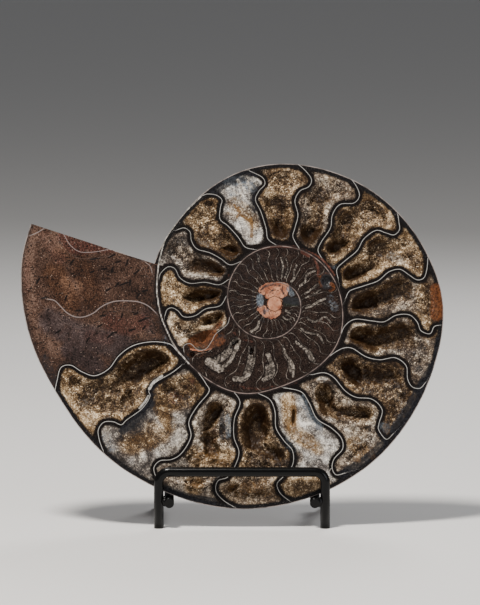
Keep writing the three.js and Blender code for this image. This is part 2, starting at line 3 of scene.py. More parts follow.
import bpy
import numpy as np
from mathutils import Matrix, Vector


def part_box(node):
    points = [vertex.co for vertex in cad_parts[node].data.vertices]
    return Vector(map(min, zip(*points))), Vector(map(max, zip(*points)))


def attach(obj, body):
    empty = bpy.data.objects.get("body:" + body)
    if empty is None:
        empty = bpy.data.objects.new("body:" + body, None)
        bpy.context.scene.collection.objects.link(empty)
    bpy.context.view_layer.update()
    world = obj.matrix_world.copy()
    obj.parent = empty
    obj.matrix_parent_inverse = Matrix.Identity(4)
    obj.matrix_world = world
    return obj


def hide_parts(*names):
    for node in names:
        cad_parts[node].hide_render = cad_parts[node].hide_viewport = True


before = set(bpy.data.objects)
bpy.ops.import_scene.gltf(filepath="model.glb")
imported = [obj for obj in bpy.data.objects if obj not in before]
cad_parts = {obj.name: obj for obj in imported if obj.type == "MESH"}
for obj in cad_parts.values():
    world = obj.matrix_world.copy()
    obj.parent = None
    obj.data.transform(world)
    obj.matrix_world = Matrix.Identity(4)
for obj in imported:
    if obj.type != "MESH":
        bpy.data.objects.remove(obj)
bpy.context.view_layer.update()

# Sizes of the fossil, in millimetres, as in the CAD part
SHELL_WIDTH = 207.0
FACE_LEAN = math.radians(9)
WIDTH_SHARE = 0.19
UMBILICUS_FILL = 5.0
WALL_BAND = 2.1
POCKET_SHARE = 0.55
POCKET_TO_WIDTH = 0.8
POCKET_MOST = 9.0
POCKET_LEAST = 2.0
FACE_SETBACK = 0.4
# Sizes of the stand, as in the CAD part
ROD_RADIUS = 2.38
HOOP_HALF_SPAN = 40.6
FRONT_BAR_HEIGHT = 27.7
FRONT_BEND = 5.1
BACK_BAR_HEIGHT = 82.0
BACK_BEND = 9.0
BACK_SPLAY = 1.1
BACK_FOOT_DEPTH = 66.0
BACK_BAR_DEPTH = 38.4
ARM_HEIGHT = 12.6
ARM_FRONT = -2.6
ARM_INSET = 5.1

# The photograph's frame: positions on the cut face were read in its pixels
PHOTO_WIDTH = 480
PHOTO_SHELL_LEFT, PHOTO_SHELL_RIGHT = 21.2, 444.0
PHOTO_FLOOR = 528.0
PHOTO_COIL_CENTRE = np.array([274.7, 303.0])
PHOTO_STAND_MIDDLE = 242.0
MM_PER_PIXEL = SHELL_WIDTH / (PHOTO_SHELL_RIGHT - PHOTO_SHELL_LEFT)

# Radius of the shell's outer edge, in photo pixels, at a turn in degrees from its mouth inwards
COIL_RADII = [
    (162, 256.5), (170, 257), (180, 252.4), (190, 246), (203, 236), (222, 228), (237, 220),
    (259, 210), (281, 197.6), (304, 186), (320, 178), (338, 172), (360, 168.6), (378, 160.6),
    (398, 152.7), (427, 143.6), (460, 137.4), (484, 131), (499, 127), (510, 126.5), (529, 119.8),
    (550, 113), (575, 105), (608, 97), (634, 84), (655, 78.4), (686, 74.7), (721, 66.8),
    (777, 59.5), (840, 54), (888, 48), (942, 41.6), (989, 35.3), (1045, 28.6), (1104, 24.2),
    (1224, 16.5),
]
MOUTH_TURN = 162
LAST_TURN = MOUTH_TURN + 360
LIP_TURN = 499
LIP_RADIUS = 127.0
MIDDLE_RADIUS = 3.0
RIM_TRIM = 0.12         # the flat facets of the CAD part lie this much inside its round rim

# The septa of the outer whorl, from the inside to the outer edge
SEPTA = [
    [(176, 350), (169, 344), (152, 342), (133, 346), (119, 356), (109, 369), (95, 376), (82, 372),
     (71, 365.5), (61, 368), (57, 382), (54, 396)],
    [(181, 366), (172, 373), (155, 383), (149, 391), (150, 397), (142, 409), (127, 420),
     (121.5, 425), (113.5, 422), (104, 422.5), (98.5, 430), (99.5, 440), (103, 450)],
    [(200, 375), (206, 384), (209, 392), (197, 407), (189, 422), (191, 437), (182, 453),
     (172, 459.5), (160, 461), (154, 468), (156, 477)],
    [(230, 388), (240, 402), (234.5, 419), (234, 437), (239, 452), (235.5, 465), (228, 477),
     (218, 481), (216, 491), (223, 500), (234, 507)],
    [(259, 394), (270, 400), (275, 412), (276, 428), (284, 441), (292.5, 451), (292.5, 465),
     (283, 477), (277, 484), (280, 493), (288, 500)],
    [(284, 388), (301, 392), (309, 403), (317, 419), (331, 428), (341, 438), (342.5, 449),
     (334, 459), (332, 468), (336, 475), (345, 473)],
    [(312, 375), (324, 373), (334, 378), (345, 391), (356, 397.5), (372, 399.5), (382, 410),
     (379, 423), (378.5, 430), (386, 439.5), (393, 434)],
    [(330, 356), (341.5, 349), (352, 348.5), (366, 357), (380, 360), (395, 358), (406, 366),
     (407.5, 379), (412, 387), (420, 388.5), (425, 383)],
    [(340, 337), (345, 326), (355, 319.5), (371, 321), (384, 322), (396, 315.5), (409, 315),
     (417, 322), (421, 331), (430, 334), (434, 327), (439, 325.5)],
    [(346, 298), (350, 291), (364, 286), (378, 281), (389, 272), (400, 269.5), (409, 275),
     (417, 280), (424, 278), (427, 269), (428, 258)],
    [(338, 278), (337, 269), (345, 261), (357, 251), (364, 239), (376, 230.5), (386, 233),
     (394, 235), (399.5, 230), (399, 222), (398, 215)],
    [(321, 257), (318, 250), (322, 241), (330.5, 228), (332.5, 215), (340, 204.5), (354, 203),
     (359.5, 196), (357, 187), (350, 177)],
    [(299, 248), (293, 237), (295, 228), (298, 215), (295, 201), (300, 191), (309, 186.5),
     (311.5, 179), (305, 170), (298, 164)],
    [(276, 245), (268, 239), (266, 228), (261, 212), (255.5, 200), (259, 191), (265, 184),
     (262, 177), (250, 171)],
    [(254, 249.5), (245, 247), (238, 237), (228, 226), (220, 219), (220.5, 207), (222, 200),
     (216, 195), (207, 194), (202, 196)],
    [(240, 262), (230, 265), (221, 259), (210, 253), (197, 249), (191.5, 241), (190, 232),
     (184, 228), (177, 230)],
    [(228, 280), (219, 285), (205, 282.5), (190, 283.5), (180, 278), (175, 269), (168, 267),
     (161, 273), (159, 278)],
    [(226, 297), (220, 306), (206, 309), (195, 316), (184, 317), (178, 311), (172, 308),
     (167, 310), (165, 316)],
    [(229.5, 318), (227, 325), (216, 334), (212, 341), (206, 349), (198, 350), (190.5, 344),
     (184, 346), (184, 352)],
]
SEPTUM_BRIGHTNESS = [
    1.1, 1.0, 1.0, 0.85, 1.0, 1.05, 0.95, 1.0, 0.9, 0.88, 0.9, 0.8, 0.78, 0.78, 0.82, 0.72, 0.7, 0.72, 0.62,
]
FIRST_SEPTUM_TURN = 205
TURN_BETWEEN_SEPTA = 19

# The hollows: for each chamber the deep spots, from one photo point to another, with the radius in
# pixels and the share of the hollow's depth.
HOLLOWS = {
    1: [((134, 370), (160, 358), 19, 1), ((128, 398), (130, 408), 7, 0.5), ((72, 378), (73, 383), 8, 0.35),
        ((118, 388), (122, 378), 10, 0.4), ((88, 400), (104, 398), 12, 0.2)],
    2: [((172, 392), (192, 390), 12, 0.3)],
    3: [((214, 410), (207, 424), 9, 0.9), ((208, 438), (213, 450), 8, 0.8)],
    4: [((256, 408), (254, 436), 17, 1), ((258, 446), (278, 454), 9, 0.8), ((229, 487), (233, 487), 5, 0.5)],
    6: [((323, 390), (326, 410), 8.5, 1), ((334, 412), (366, 413), 8, 0.8)],
    7: [((349, 366), (356, 378), 9, 1), ((362, 379), (392, 377), 7.5, 0.75), ((362, 370), (386, 371), 9, 0.5)],
    8: [((358, 334), (372, 341), 14, 1), ((380, 338), (402, 334), 14, 0.85)],
    9: [((359, 304), (370, 299), 13, 1), ((378, 296), (400, 288), 14, 0.7)],
    10: [((348, 274), (358, 271), 11, 1), ((366, 267), (376, 263), 9, 0.7), ((373, 241), (380, 250), 12, 0.65)],
    11: [((332, 247), (342, 247), 9, 1), ((345, 211), (345, 219), 10, 0.65), ((354, 226), (357, 242), 6, 0.5),
         ((340, 228), (334, 238), 8, 0.45)],
    12: [((308, 234), (318, 236), 12, 1), ((316, 200), (318, 222), 8, 0.5), ((330, 196), (342, 194), 6, 0.3)],
    13: [((277, 228), (283, 237), 12, 1), ((273, 206), (283, 220), 11, 0.6), ((303, 176), (303, 180), 5, 0.35)],
    15: [((224, 252), (238, 252), 8, 1), ((204, 240), (232, 240), 10, 0.55), ((208, 203), (214, 204), 6, 0.45)],
    16: [((197, 267), (220, 268), 10, 0.9), ((212, 262), (216, 262), 7, 0.6)],
    17: [((194, 296), (219, 296), 10, 1)],
    18: [((206, 317), (220, 320), 8, 0.95)],
}
# Chamber 2 is hollow only over this stretch, given as shares of the chamber's length
HOLLOW_STRETCH = {2: (0.02, 0.27)}
# Small open pits away from the big chambers: photo point, half width and half height in pixels, and
# the depth in millimetres
PITS = [
    ((235, 343), 4.5, 5.5, 2.2),
    ((251.5, 352), 2.2, 4.5, 1.8),
    ((327, 281), 6.5, 6, 1.6),
    ((192.5, 355), 3.2, 4.2, 2),
    ((293.5, 418), 2.4, 10, 3),
]

# How warm and how light each chamber's crystals are: 0 grey to 1 golden, 0 dark to 1 bright
CHAMBER_WARMTH = {
    1: 0.95, 2: 0.3, 3: 0.48, 4: 0.62, 5: 0.2, 6: 0.5, 7: 0.72, 8: 0.52, 9: 0.55, 10: 0.8,
    11: 0.8, 12: 0.55, 13: 0.75, 14: 0.0, 15: 0.8, 16: 0.38, 17: 0.8, 18: 0.62,
}
CHAMBER_LIGHT = {
    1: 0.43, 2: 0.42, 3: 0.47, 4: 0.42, 5: 0.61, 6: 0.48, 7: 0.28, 8: 0.365, 9: 0.305, 10: 0.485,
    11: 0.415, 12: 0.335, 13: 0.39, 14: 0.6, 15: 0.375, 16: 0.34, 17: 0.45, 18: 0.56,
}

# Patches of colour on the cut face: strokes through photo points, with a half width in pixels and
# a strength, drawn one by one. Most are the stone's own colour; the dim strokes over the hollows and
# the shade strokes in the pits are painted shade.
STROKES = {
    "rust": [
        ([(436, 290), (437, 302), (436.5, 315)], 7, 1), ([(193, 343), (202, 338), (212, 335)], 6, 1.4),
        ([(213, 331), (221, 323)], 2.6, 1), ([(204, 346), (214, 344), (222, 341)], 4.5, 0.74),
        ([(222, 334), (224, 342)], 3, 0.4), ([(190, 355), (204, 354)], 3, 0.4),
        ([(322, 287), (319, 280), (323, 274), (331, 274)], 1.5, 0.45), ([(331, 284), (334, 286)], 2.0, 0.9),
        ([(330, 291), (334, 289)], 1.6, 0.7),
    ],
    "red": [
        ([(262, 248.5), (275, 246.5), (292, 247), (305, 251), (318, 257), (327, 265), (334, 275)], 1.6, 0.8),
        ([(229, 275), (227, 290), (227, 305), (229, 320)], 1.5, 0.35),
        ([(234, 386), (260, 389), (296, 383)], 1.6, 0.4), ([(302, 252), (309, 256)], 1.8, 0.9),
        ([(314, 258), (318, 268), (318, 276)], 1.6, 0.6), ([(232, 331), (240, 338), (252, 342)], 1.6, 0.35),
        ([(322, 322), (334, 330)], 6, 0.25), ([(64, 238), (76, 247), (94, 246), (110, 246)], 8, 0.75),
        ([(110, 322), (128, 327), (142, 322)], 10, 0.5), ([(90, 336), (108, 340)], 7, 0.35),
        ([(44, 236), (60, 258)], 8, 0.35), ([(26, 262), (26, 290)], 5, 0.35), ([(148, 240), (152, 256)], 4, 0.7),
        ([(214, 430), (212, 448)], 4, 0.3), ([(174, 398), (190, 384)], 8, 0.35),
    ],
    "brown": [
        ([(54, 274), (70, 302)], 13, 0.9), ([(84, 270), (92, 298)], 13, 0.75), ([(60, 252), (82, 260)], 8, 0.55),
    ],
    "pale": [
        # The strokes along the left edge are the stone's paler tone together with a painted sheen.
        ([(66, 282), (78, 288)], 7, 0.9), ([(29, 238), (27, 262), (28, 284)], 8, 1.05),
        ([(38, 238), (56, 246)], 7, 0.7), ([(32, 300), (42, 330), (56, 352)], 9, 0.75),
        ([(28, 290), (40, 300), (60, 318)], 7, 0.45), ([(100, 322), (82, 330)], 8, 0.25),
        ([(140, 334), (120, 346)], 6, 0.3),
    ],
    "mauve": [
        ([(52, 322), (80, 336), (120, 346)], 15, 0.7), ([(70, 350), (96, 366)], 10, 0.7),
        ([(146, 312), (150, 330)], 7, 0.4),
    ],
    "salmon": [
        ([(263, 291), (268, 287.5), (277, 286.5), (285, 288), (282, 294)], 4.6, 1),
        ([(268, 295), (276, 294)], 4, 1), ([(274.5, 304)], 8, 1),
        ([(261.5, 309), (266, 313), (272, 315), (277, 312)], 4.6, 0.9),
        ([(191, 349.5), (201, 350.7), (211, 348.6)], 1.2, 0.75),
    ],
    "blue": [
        ([(260, 297), (260, 304)], 4.0, 0.8), ([(289, 289), (292, 294)], 3.2, 0.7),
        ([(263, 313), (267, 310)], 2.6, 0.5), ([(330, 299), (335, 308)], 5, 0.4),
        ([(165, 338), (166, 343)], 3.6, 0.3), ([(183, 357), (187, 360)], 4, 0.3), ([(333, 266)], 5, 0.3),
        ([(318, 384), (324, 383)], 4, 0.25), ([(333, 367)], 4, 0.25), ([(384, 427), (388, 429)], 6, 0.5),
        ([(107, 437), (112, 448)], 6, 0.45), ([(228, 417), (228, 436)], 3.4, 0.6),
        ([(228, 182), (242, 181), (252, 188)], 6, 0.75), ([(232, 190), (238, 204)], 8, 0.45),
        ([(291, 436), (292, 448)], 7, 0.35), ([(302, 398), (308, 412), (320, 428)], 4.5, 0.6),
    ],
    "shade": [
        ([(202, 347), (212, 344), (222, 339)], 5, 0.8), ([(123, 431), (137, 419), (151, 404)], 4, 1.3),
        ([(126, 436), (141, 424), (152, 412)], 8, 0.6), ([(214, 191), (226, 183), (240, 177), (252, 176)], 6, 0.85),
        ([(257, 184), (252, 198), (254, 210)], 4, 0.75), ([(218, 192), (222, 204)], 4, 0.5),
        ([(226, 198), (230, 208)], 4, 0.35), ([(342, 474), (364, 460), (384, 443)], 4.5, 1),
        ([(433, 369), (421, 391), (409, 411), (396, 430)], 7, 1.25), ([(438, 340), (436, 356)], 3.5, 0.9),
        ([(166, 489), (186, 497), (212, 502)], 5, 1), ([(384, 436), (389, 424)], 4, 0.5),
        ([(261, 290), (266, 286.5), (273, 285), (280, 286)], 1.3, 0.75), ([(270, 293), (274, 289)], 1.0, 0.7),
        ([(281, 289), (284, 294)], 1.2, 0.75), ([(263, 307), (265, 314)], 1.6, 0.7),
        ([(272, 317), (278, 314)], 1.0, 0.6), ([(222, 412), (222, 438)], 3, 0.8),
        ([(152, 400), (154, 388)], 6, 0.6), ([(110, 458), (128, 468), (150, 476)], 6, 0.45),
        ([(136, 440), (146, 434)], 7, 0.4), ([(168, 404), (172, 420)], 5, 0.35),
        ([(248, 196), (250, 206)], 4, 0.35), ([(226, 206), (232, 222)], 4, 0.3),
        ([(302, 400), (312, 414), (322, 424)], 4, 0.45), ([(282, 440), (284, 456)], 4, 0.45),
        ([(326, 440), (318, 458)], 4, 0.4), ([(296, 458), (312, 462)], 5, 0.4), ([(388, 372), (398, 392)], 5, 0.4),
        ([(424, 350), (418, 380)], 5, 0.4), ([(372, 446), (384, 432)], 5, 0.5), ([(286, 300), (298, 302)], 4, 0.95),
        ([(254, 288), (253, 304), (256, 316), (264, 322)], 1.5, 0.5), ([(240, 275), (256, 268)], 11, 0.35),
        # The strokes from (327, 277) to (326, 284) and from (293.5, 410) to (293.5, 423) are painted shade in two
        # pits.
        ([(262, 258), (282, 272)], 9, 0.35), ([(236, 304), (248, 306)], 9, 0.3), ([(327, 277), (326, 284)], 6, 0.9),
        ([(293.5, 410), (293.5, 423)], 1.7, 0.85), ([(45, 358), (54, 382)], 5, 0.6),
        ([(203, 346.5), (205, 347)], 2, 0.8), ([(197, 342), (213, 337)], 5, 0.55),
        # The wide stroke from (374, 300) to (400, 290) is painted shade over hollow 9.
        ([(284, 448), (284, 462)], 4, 0.4), ([(374, 300), (400, 290)], 10, 0.25),
        ([(404, 352), (430, 345)], 5, 0.2),
    ],
    "ochre": [
        ([(234, 205), (238, 210), (242, 216), (250, 221)], 1.5, 1),
        ([(251, 219), (251.5, 226), (251.5, 236)], 1.7, 1.15), ([(238, 208), (239.5, 213), (237, 217)], 1.8, 0.95),
        ([(227, 213), (231, 213)], 1.3, 0.7), ([(164, 408), (169, 424), (165, 438)], 4, 0.35),
        ([(128, 444), (140, 440), (152, 446)], 7, 0.35), ([(293.5, 408), (293, 424)], 3.4, 0.75),
        ([(293, 424), (296, 432), (304, 439), (315, 445)], 2.3, 1.15), ([(318, 444), (314, 450)], 3.0, 0.7),
        ([(287, 402), (286, 416), (289, 430)], 2.4, 0.65), ([(198, 484)], 7, 0.6),
        ([(200, 457), (222, 459)], 8, 0.55), ([(357, 459)], 5, 0.5), ([(236, 490), (266, 488)], 10, 0.5),
        ([(248, 172), (254, 186)], 4, 0.2), ([(366, 440), (372, 456)], 5, 0.3), ([(214, 408), (222, 400)], 4, 0.35),
    ],
    "silver": [
        ([(209, 362), (214, 366), (220, 369)], 4.6, 1), ([(216, 361), (223, 357), (229, 351)], 4.6, 0.6),
        ([(221, 368), (229, 363), (234, 354), (237, 345)], 2, 0.9),
        ([(229, 348), (233, 341), (239, 339)], 1.4, 0.7), ([(240, 341), (237, 350), (231, 357)], 1.4, 0.75),
        ([(250, 358), (249, 366), (246, 374)], 3.4, 0.62), ([(235, 379), (243, 379.5), (248, 375)], 3, 0.95),
        ([(252, 356), (253, 366), (250, 375)], 1.4, 0.5), ([(249, 347), (249, 356)], 1, 0.6),
        ([(255, 347), (255, 358), (253, 368)], 1, 0.6),
        ([(268, 355), (271, 363), (273, 369), (271, 376), (264, 380)], 2.8, 0.75),
        ([(268, 367), (268, 377)], 3.6, 0.6),
        ([(283, 346), (286, 355), (291, 361), (294, 369), (293, 377)], 1.3, 0.8),
        ([(290, 362), (292, 372)], 3, 0.65), ([(296, 342), (303, 348), (310, 353), (314, 361)], 1.7, 0.75),
        ([(307, 352), (312, 360)], 2.6, 0.6), ([(281, 258), (283, 266), (282, 277)], 1.2, 0.7),
        ([(286, 259), (288, 268), (285, 278)], 1.1, 0.6),
        ([(297, 265), (294, 272), (294, 279), (291, 282)], 1.3, 0.75),
        ([(315, 271), (307, 275), (305, 282), (300, 286)], 1.4, 0.75),
        ([(318, 284), (312, 289), (305, 294)], 1.3, 0.7),
        ([(306, 308), (312, 306), (318, 302), (325, 299)], 1.4, 0.8),
        ([(305, 298), (313, 295), (320, 290)], 1.1, 0.6), ([(322, 302), (328, 306)], 1.3, 0.6),
        ([(307, 318), (313, 322), (320, 320), (325, 317), (331, 323)], 1.3, 0.75),
        ([(301, 329), (308, 333), (318, 335), (323, 343)], 1.4, 0.75), ([(286, 311), (290, 313)], 1.6, 0.8),
        ([(283, 317), (287, 320), (291, 319)], 1.2, 0.7), ([(259, 322), (257, 328), (251, 332)], 1.6, 0.75),
        ([(257, 254), (259, 263)], 1.1, 0.5), ([(235, 291), (239, 294)], 1.2, 0.5),
    ],
    "white": [
        ([(296, 428), (308, 440), (322, 446)], 7, 0.45), ([(176, 424), (180, 440), (172, 452)], 7, 0.55),
        ([(104, 428), (108, 436)], 5, 0.45), ([(204, 405), (200, 430), (200, 450)], 4.5, 0.45),
        ([(215, 396), (224, 396)], 4, 0.45), ([(244, 224), (252, 238)], 6, 0.4),
        ([(237, 179), (242, 190), (238, 202)], 1.7, 0.75), ([(248, 180), (250, 194)], 1.4, 0.7),
        ([(228, 186), (238, 194)], 1.4, 0.7), ([(242, 184), (252, 187), (257, 196)], 1.1, 0.6),
        ([(244, 176), (252, 179)], 1.2, 0.6), ([(232, 200), (244, 206), (252, 214)], 3, 0.5),
        ([(352, 430), (358, 440)], 8, 0.45), ([(192, 274), (206, 275)], 3.5, 0.55),
        ([(404, 306), (398, 314), (420, 318)], 5, 0.35), ([(392, 352), (402, 362)], 6, 0.35),
        ([(392, 256), (402, 262)], 6, 0.45), ([(394, 392), (402, 404)], 5, 0.3),
        ([(196, 240), (206, 246)], 4, 0.45), ([(190, 216), (186, 222)], 5, 0.3), ([(84, 404), (96, 424)], 6, 0.3),
    ],
    "golden": [
        ([(168, 396), (190, 390)], 17, 1), ([(160, 408), (170, 426)], 7, 0.8), ([(130, 444), (150, 438)], 12, 0.55),
        ([(150, 428), (164, 436)], 8, 0.45), ([(288, 400), (292, 428), (308, 442)], 8, 0.85),
        ([(310, 442), (318, 450)], 6, 0.6), ([(284, 452), (300, 458)], 5, 0.4), ([(286, 488), (318, 486)], 12, 0.9),
        ([(196, 456), (240, 460)], 10, 0.7), ([(194, 486)], 10, 0.6), ([(424, 292), (434, 312)], 9, 0.5),
        ([(418, 320), (430, 330)], 9, 0.4), ([(354, 444), (362, 452)], 7, 0.6),
        ([(234, 203), (246, 212), (254, 224)], 8, 0.8), ([(228, 214), (238, 218)], 6, 0.5),
        ([(252, 226), (252, 240)], 4, 0.5), ([(176, 246), (186, 256)], 8, 0.15), ([(258, 184), (282, 190)], 9, 0.3),
    ],
    "bright": [
        ([(60, 390), (72, 408), (88, 424)], 5, 1), ([(92, 416), (104, 410)], 5, 0.6),
        ([(168, 358), (162, 376), (146, 388)], 4, 0.5), ([(166, 430), (178, 446)], 8, 0.7),
        ([(104, 430), (108, 440)], 5, 0.6), ([(196, 412), (194, 432), (196, 448)], 4, 0.8),
        ([(214, 398), (222, 400)], 4, 0.6), ([(220, 440), (224, 456)], 4, 0.6), ([(240, 440), (246, 462)], 4, 0.4),
        ([(278, 436), (284, 448)], 3, 0.4), ([(284, 396), (298, 402)], 5, 0.5), ([(296, 440), (310, 452)], 7, 0.5),
        ([(318, 428), (326, 440)], 5, 0.4), ([(334, 418), (352, 424), (362, 436)], 6, 0.6),
        ([(318, 380), (312, 390)], 3, 0.4), ([(364, 386), (384, 386)], 3, 0.6),
        ([(376, 352), (396, 354), (408, 362)], 4, 0.5), ([(400, 302), (424, 318)], 6, 0.4),
        ([(424, 322), (428, 328)], 4, 0.6), ([(388, 262), (370, 272)], 4, 0.5), ([(402, 262), (420, 270)], 5, 0.5),
        ([(362, 256), (368, 262)], 4, 0.5), ([(384, 206), (392, 222)], 4, 0.5), ([(352, 232), (340, 244)], 4, 0.5),
        ([(362, 212), (376, 228)], 6, 0.4), ([(308, 206), (312, 216)], 5, 0.8), ([(328, 205), (326, 220)], 5, 0.4),
        ([(266, 184), (272, 196)], 5, 0.6), ([(288, 180), (298, 186)], 6, 0.5), ([(272, 214), (278, 222)], 4, 0.5),
        ([(236, 196), (240, 206)], 5, 0.5), ([(252, 226), (250, 240)], 5, 0.5), ([(238, 180), (244, 190)], 4, 0.4),
        ([(186, 218), (200, 212)], 6, 0.5), ([(196, 236), (214, 246)], 5, 0.7), ([(190, 272), (206, 276)], 3.5, 1),
        ([(165, 282), (170, 298)], 5, 0.7), ([(176, 306), (192, 310)], 4, 0.8),
        ([(168, 316), (174, 330), (184, 340)], 5, 1), ([(196, 328), (212, 328)], 3, 0.8),
    ],
    # These strokes darken the crystals' light: over the hollows they are painted shade, elsewhere they are the
    # stone's darker patches.
    "dim_and_painted_shade": [
        ([(68, 376), (74, 384)], 6, 0.8), ([(86, 396), (112, 390)], 9, 0.5), ([(116, 404), (130, 404)], 7, 0.7),
        ([(120, 434), (136, 420), (148, 408)], 8, 1), ([(130, 446), (146, 436)], 7, 0.5),
        ([(190, 384), (176, 392)], 8, 0.3), ([(120, 460), (146, 470)], 6, 0.6), ([(308, 412), (318, 428)], 5, 0.5),
        ([(283, 424), (288, 438)], 4, 0.5), ([(368, 448), (352, 458)], 6, 0.4), ([(398, 370), (404, 378)], 5, 0.4),
        ([(408, 398), (400, 410)], 5, 0.3), ([(400, 326), (414, 336)], 7, 0.5), ([(392, 278), (406, 284)], 7, 0.5),
        ([(372, 240), (378, 250)], 7, 0.7), ([(346, 271), (354, 275)], 7, 1.5), ([(396, 240), (408, 252)], 6, 0.25),
        ([(343, 214), (348, 220)], 6, 0.8), ([(330, 248), (336, 252)], 5, 0.8), ([(320, 192), (321, 224)], 4, 0.8),
        ([(306, 238), (316, 234)], 7, 1.4), ([(336, 184), (350, 190)], 6, 0.3), ([(276, 202), (290, 208)], 6, 0.7),
        ([(278, 231), (282, 236)], 7, 1.6), ([(302, 178), (306, 184)], 4, 0.5), ([(220, 190), (224, 204)], 6, 0.8),
        ([(256, 186), (252, 206)], 5, 0.9), ([(223, 208), (228, 220), (238, 236)], 4, 0.9),
        ([(256, 208), (260, 226)], 3, 0.5), ([(250, 178), (240, 184)], 3, 0.3), ([(206, 200), (214, 204)], 5, 0.7),
        ([(216, 218), (228, 236)], 6, 0.5), ([(232, 252), (236, 254)], 6, 0.6), ([(174, 238), (190, 252)], 9, 0.5),
        ([(180, 246), (191, 258)], 6, 0.55), ([(196, 262), (214, 266)], 5, 0.6), ([(190, 284), (206, 288)], 5, 0.4),
        ([(182, 322), (194, 324)], 6, 0.5), ([(193, 344), (204, 338), (220, 334)], 7, 1.5),
        ([(250, 442), (262, 458), (277, 461)], 8, 0.9), ([(262, 404), (266, 428)], 6, 0.6),
        ([(208, 440), (212, 456)], 5, 0.5),
    ],
    "glaze": [
        ([(286, 304), (296, 304)], 2.8, 0.8),
    ],
}

# Thin pale lines in the sediment of the body chamber, each with its half width in millimetres
PEN_LINES = [
    ([(49, 299.5), (55, 301), (61, 307), (67, 313), (75, 317), (84.5, 317), (94, 313), (100, 308),
      (107, 304), (115, 301.5), (125, 301), (138, 302), (148, 306), (156, 313)], 0.24),
    ([(64, 235), (70, 245), (80, 252), (95, 252), (108, 249.5)], 0.16),
    ([(29, 236), (36.5, 233), (44, 228.6)], 0.2),
    ([(146, 263), (150, 266), (152, 272)], 0.16),
    ([(211, 340), (214, 344.5), (219, 346)], 0.2),
]
# Bright walls that are stouter than a septum, or stray from one
STOUT_WALLS = [
    ([(201, 196.5), (190, 207), (179, 219), (173, 228), (165, 240), (161, 254), (158.6, 265), (157.2, 280),
      (156.8, 290), (158, 301), (160, 313), (163, 322), (167, 331), (172, 342), (177, 350.5), (183, 357),
      (189, 364)], 0.36),
    ([(162, 376.5), (157, 380), (152.5, 384), (149.5, 389)], 0.75),
    ([(148.5, 396), (145, 402), (139.5, 408.5)], 0.55),
    ([(332, 468), (328, 474), (334, 483)], 0.26),
    ([(228, 412), (230, 426), (229, 440)], 0.3),
]
# Short black cracks and grains in the sediment: middle, direction in degrees, length in pixels
DASHES = [
    ((94, 259), 10, 6), ((112, 256), 30, 7), ((127, 263), 70, 6), ((104, 269), 0, 5), ((124, 284), 20, 8),
    ((117, 285), 50, 5), ((130, 283), 80, 5), ((145, 291), 15, 6), ((103, 316), 5, 6), ((143, 320), 25, 9),
    ((110, 336), 40, 6), ((114, 333), 10, 5), ((38, 281), 60, 6), ((44, 298), 20, 5), ((66, 298), 70, 5),
    ((78, 311), 0, 5), ((58, 332), 30, 6), ((88, 340), 60, 5), ((132, 330), 10, 6), ((72, 262), 45, 5),
    ((112, 270), 75, 5), ((137, 272), 40, 6), ((108, 290), 30, 5), ((138, 296), 60, 5), ((118, 262), 15, 5),
    ((122, 316), 75, 4), ((100, 326), 30, 5), ((136, 314), 20, 5), ((144, 328), 50, 4), ((92, 272), 25, 4),
]
# Fine dark joints in the pink middle of the coil
JOINTS = [
    [(282.4, 304), (280, 298.4), (274.6, 296.2), (269, 298.4), (266.8, 304), (269, 309.6),
     (274.6, 311.8), (280, 309.6), (282.4, 304)],
    [(266.8, 304), (262, 306), (257, 308)], [(266, 292), (265, 298), (267, 301)],
    [(268, 288), (272, 291), (276, 290)],
    [(283, 286), (282, 292), (285, 296)], [(268, 310), (270, 315)], [(262, 292), (259, 294)],
]


# The cut face. A face point is in millimetres from the middle of the coil, x right, y up along the face.
def smooth_through(pairs):
    """The smooth curve through listed pairs, the same as the CAD part's."""
    x, y = np.array(pairs, float).T
    order = np.arange(len(x))
    before, after = np.maximum(order - 1, 0), np.minimum(order + 1, len(x) - 1)
    slope = (y[after] - y[before]) / (x[after] - x[before])

    def at(value):
        i = np.clip(np.searchsorted(x, value, side="right") - 1, 0, len(x) - 2)
        t = np.clip((value - x[i]) / (x[i + 1] - x[i]), 0, 1)
        ease = t * (1 - t) * (x[i + 1] - x[i])
        return y[i] + (y[i + 1] - y[i]) * t * t * (3 - 2 * t) + ease * ((1 - t) * slope[i] - t * slope[i + 1])

    return at


radius_in_pixels = smooth_through(COIL_RADII)


def coil_radius(turn):
    return radius_in_pixels(turn) * MM_PER_PIXEL


def rim_radius(turn):
    return np.where(turn < LIP_TURN, coil_radius(turn), LIP_RADIUS * MM_PER_PIXEL) - RIM_TRIM


def face_points(photo_points):
    points = np.array(photo_points, float).reshape(-1, 2) - PHOTO_COIL_CENTRE
    return points * [MM_PER_PIXEL, -MM_PER_PIXEL]


def smoothstep(value, low, high):
    t = np.clip((value - low) / (high - low), 0, 1)
    return t * t * (3 - 2 * t)


def through(points, steps, closed=False):
    """The round curve through points, with some steps between each two."""
    points = np.asarray(points, float)
    count = len(points)
    spans = np.arange(count if closed else count - 1)

    def pick(i):
        return points[i % count] if closed else points[np.clip(i, 0, count - 1)]

    a, b, c, d = (pick(spans + k)[:, None] for k in (-1, 0, 1, 2))
    t = (np.arange(steps) / steps)[None, :, None]
    curve = b + 0.5 * t * ((c - a) + t * ((2 * a - 5 * b + 4 * c - d) + t * (3 * (b - c) + d - a)))
    curve = curve.reshape(-1, points.shape[1])
    return curve if closed else np.vstack([curve, points[-1:]])


def evenly(curve, count):
    """Points spaced evenly along a curve, and the way the curve runs at each."""
    lengths = np.concatenate([[0], np.cumsum(np.linalg.norm(np.diff(curve, axis=0), axis=1))])
    shares = np.linspace(0, lengths[-1], count)
    points = np.stack([np.interp(shares, lengths, curve[:, axis]) for axis in range(curve.shape[1])], 1)
    ways = np.gradient(points, axis=0)
    return points, ways / np.linalg.norm(ways, axis=1, keepdims=True)


NOT_NEAR = 1e3  # the distance given to points that are further away than was asked


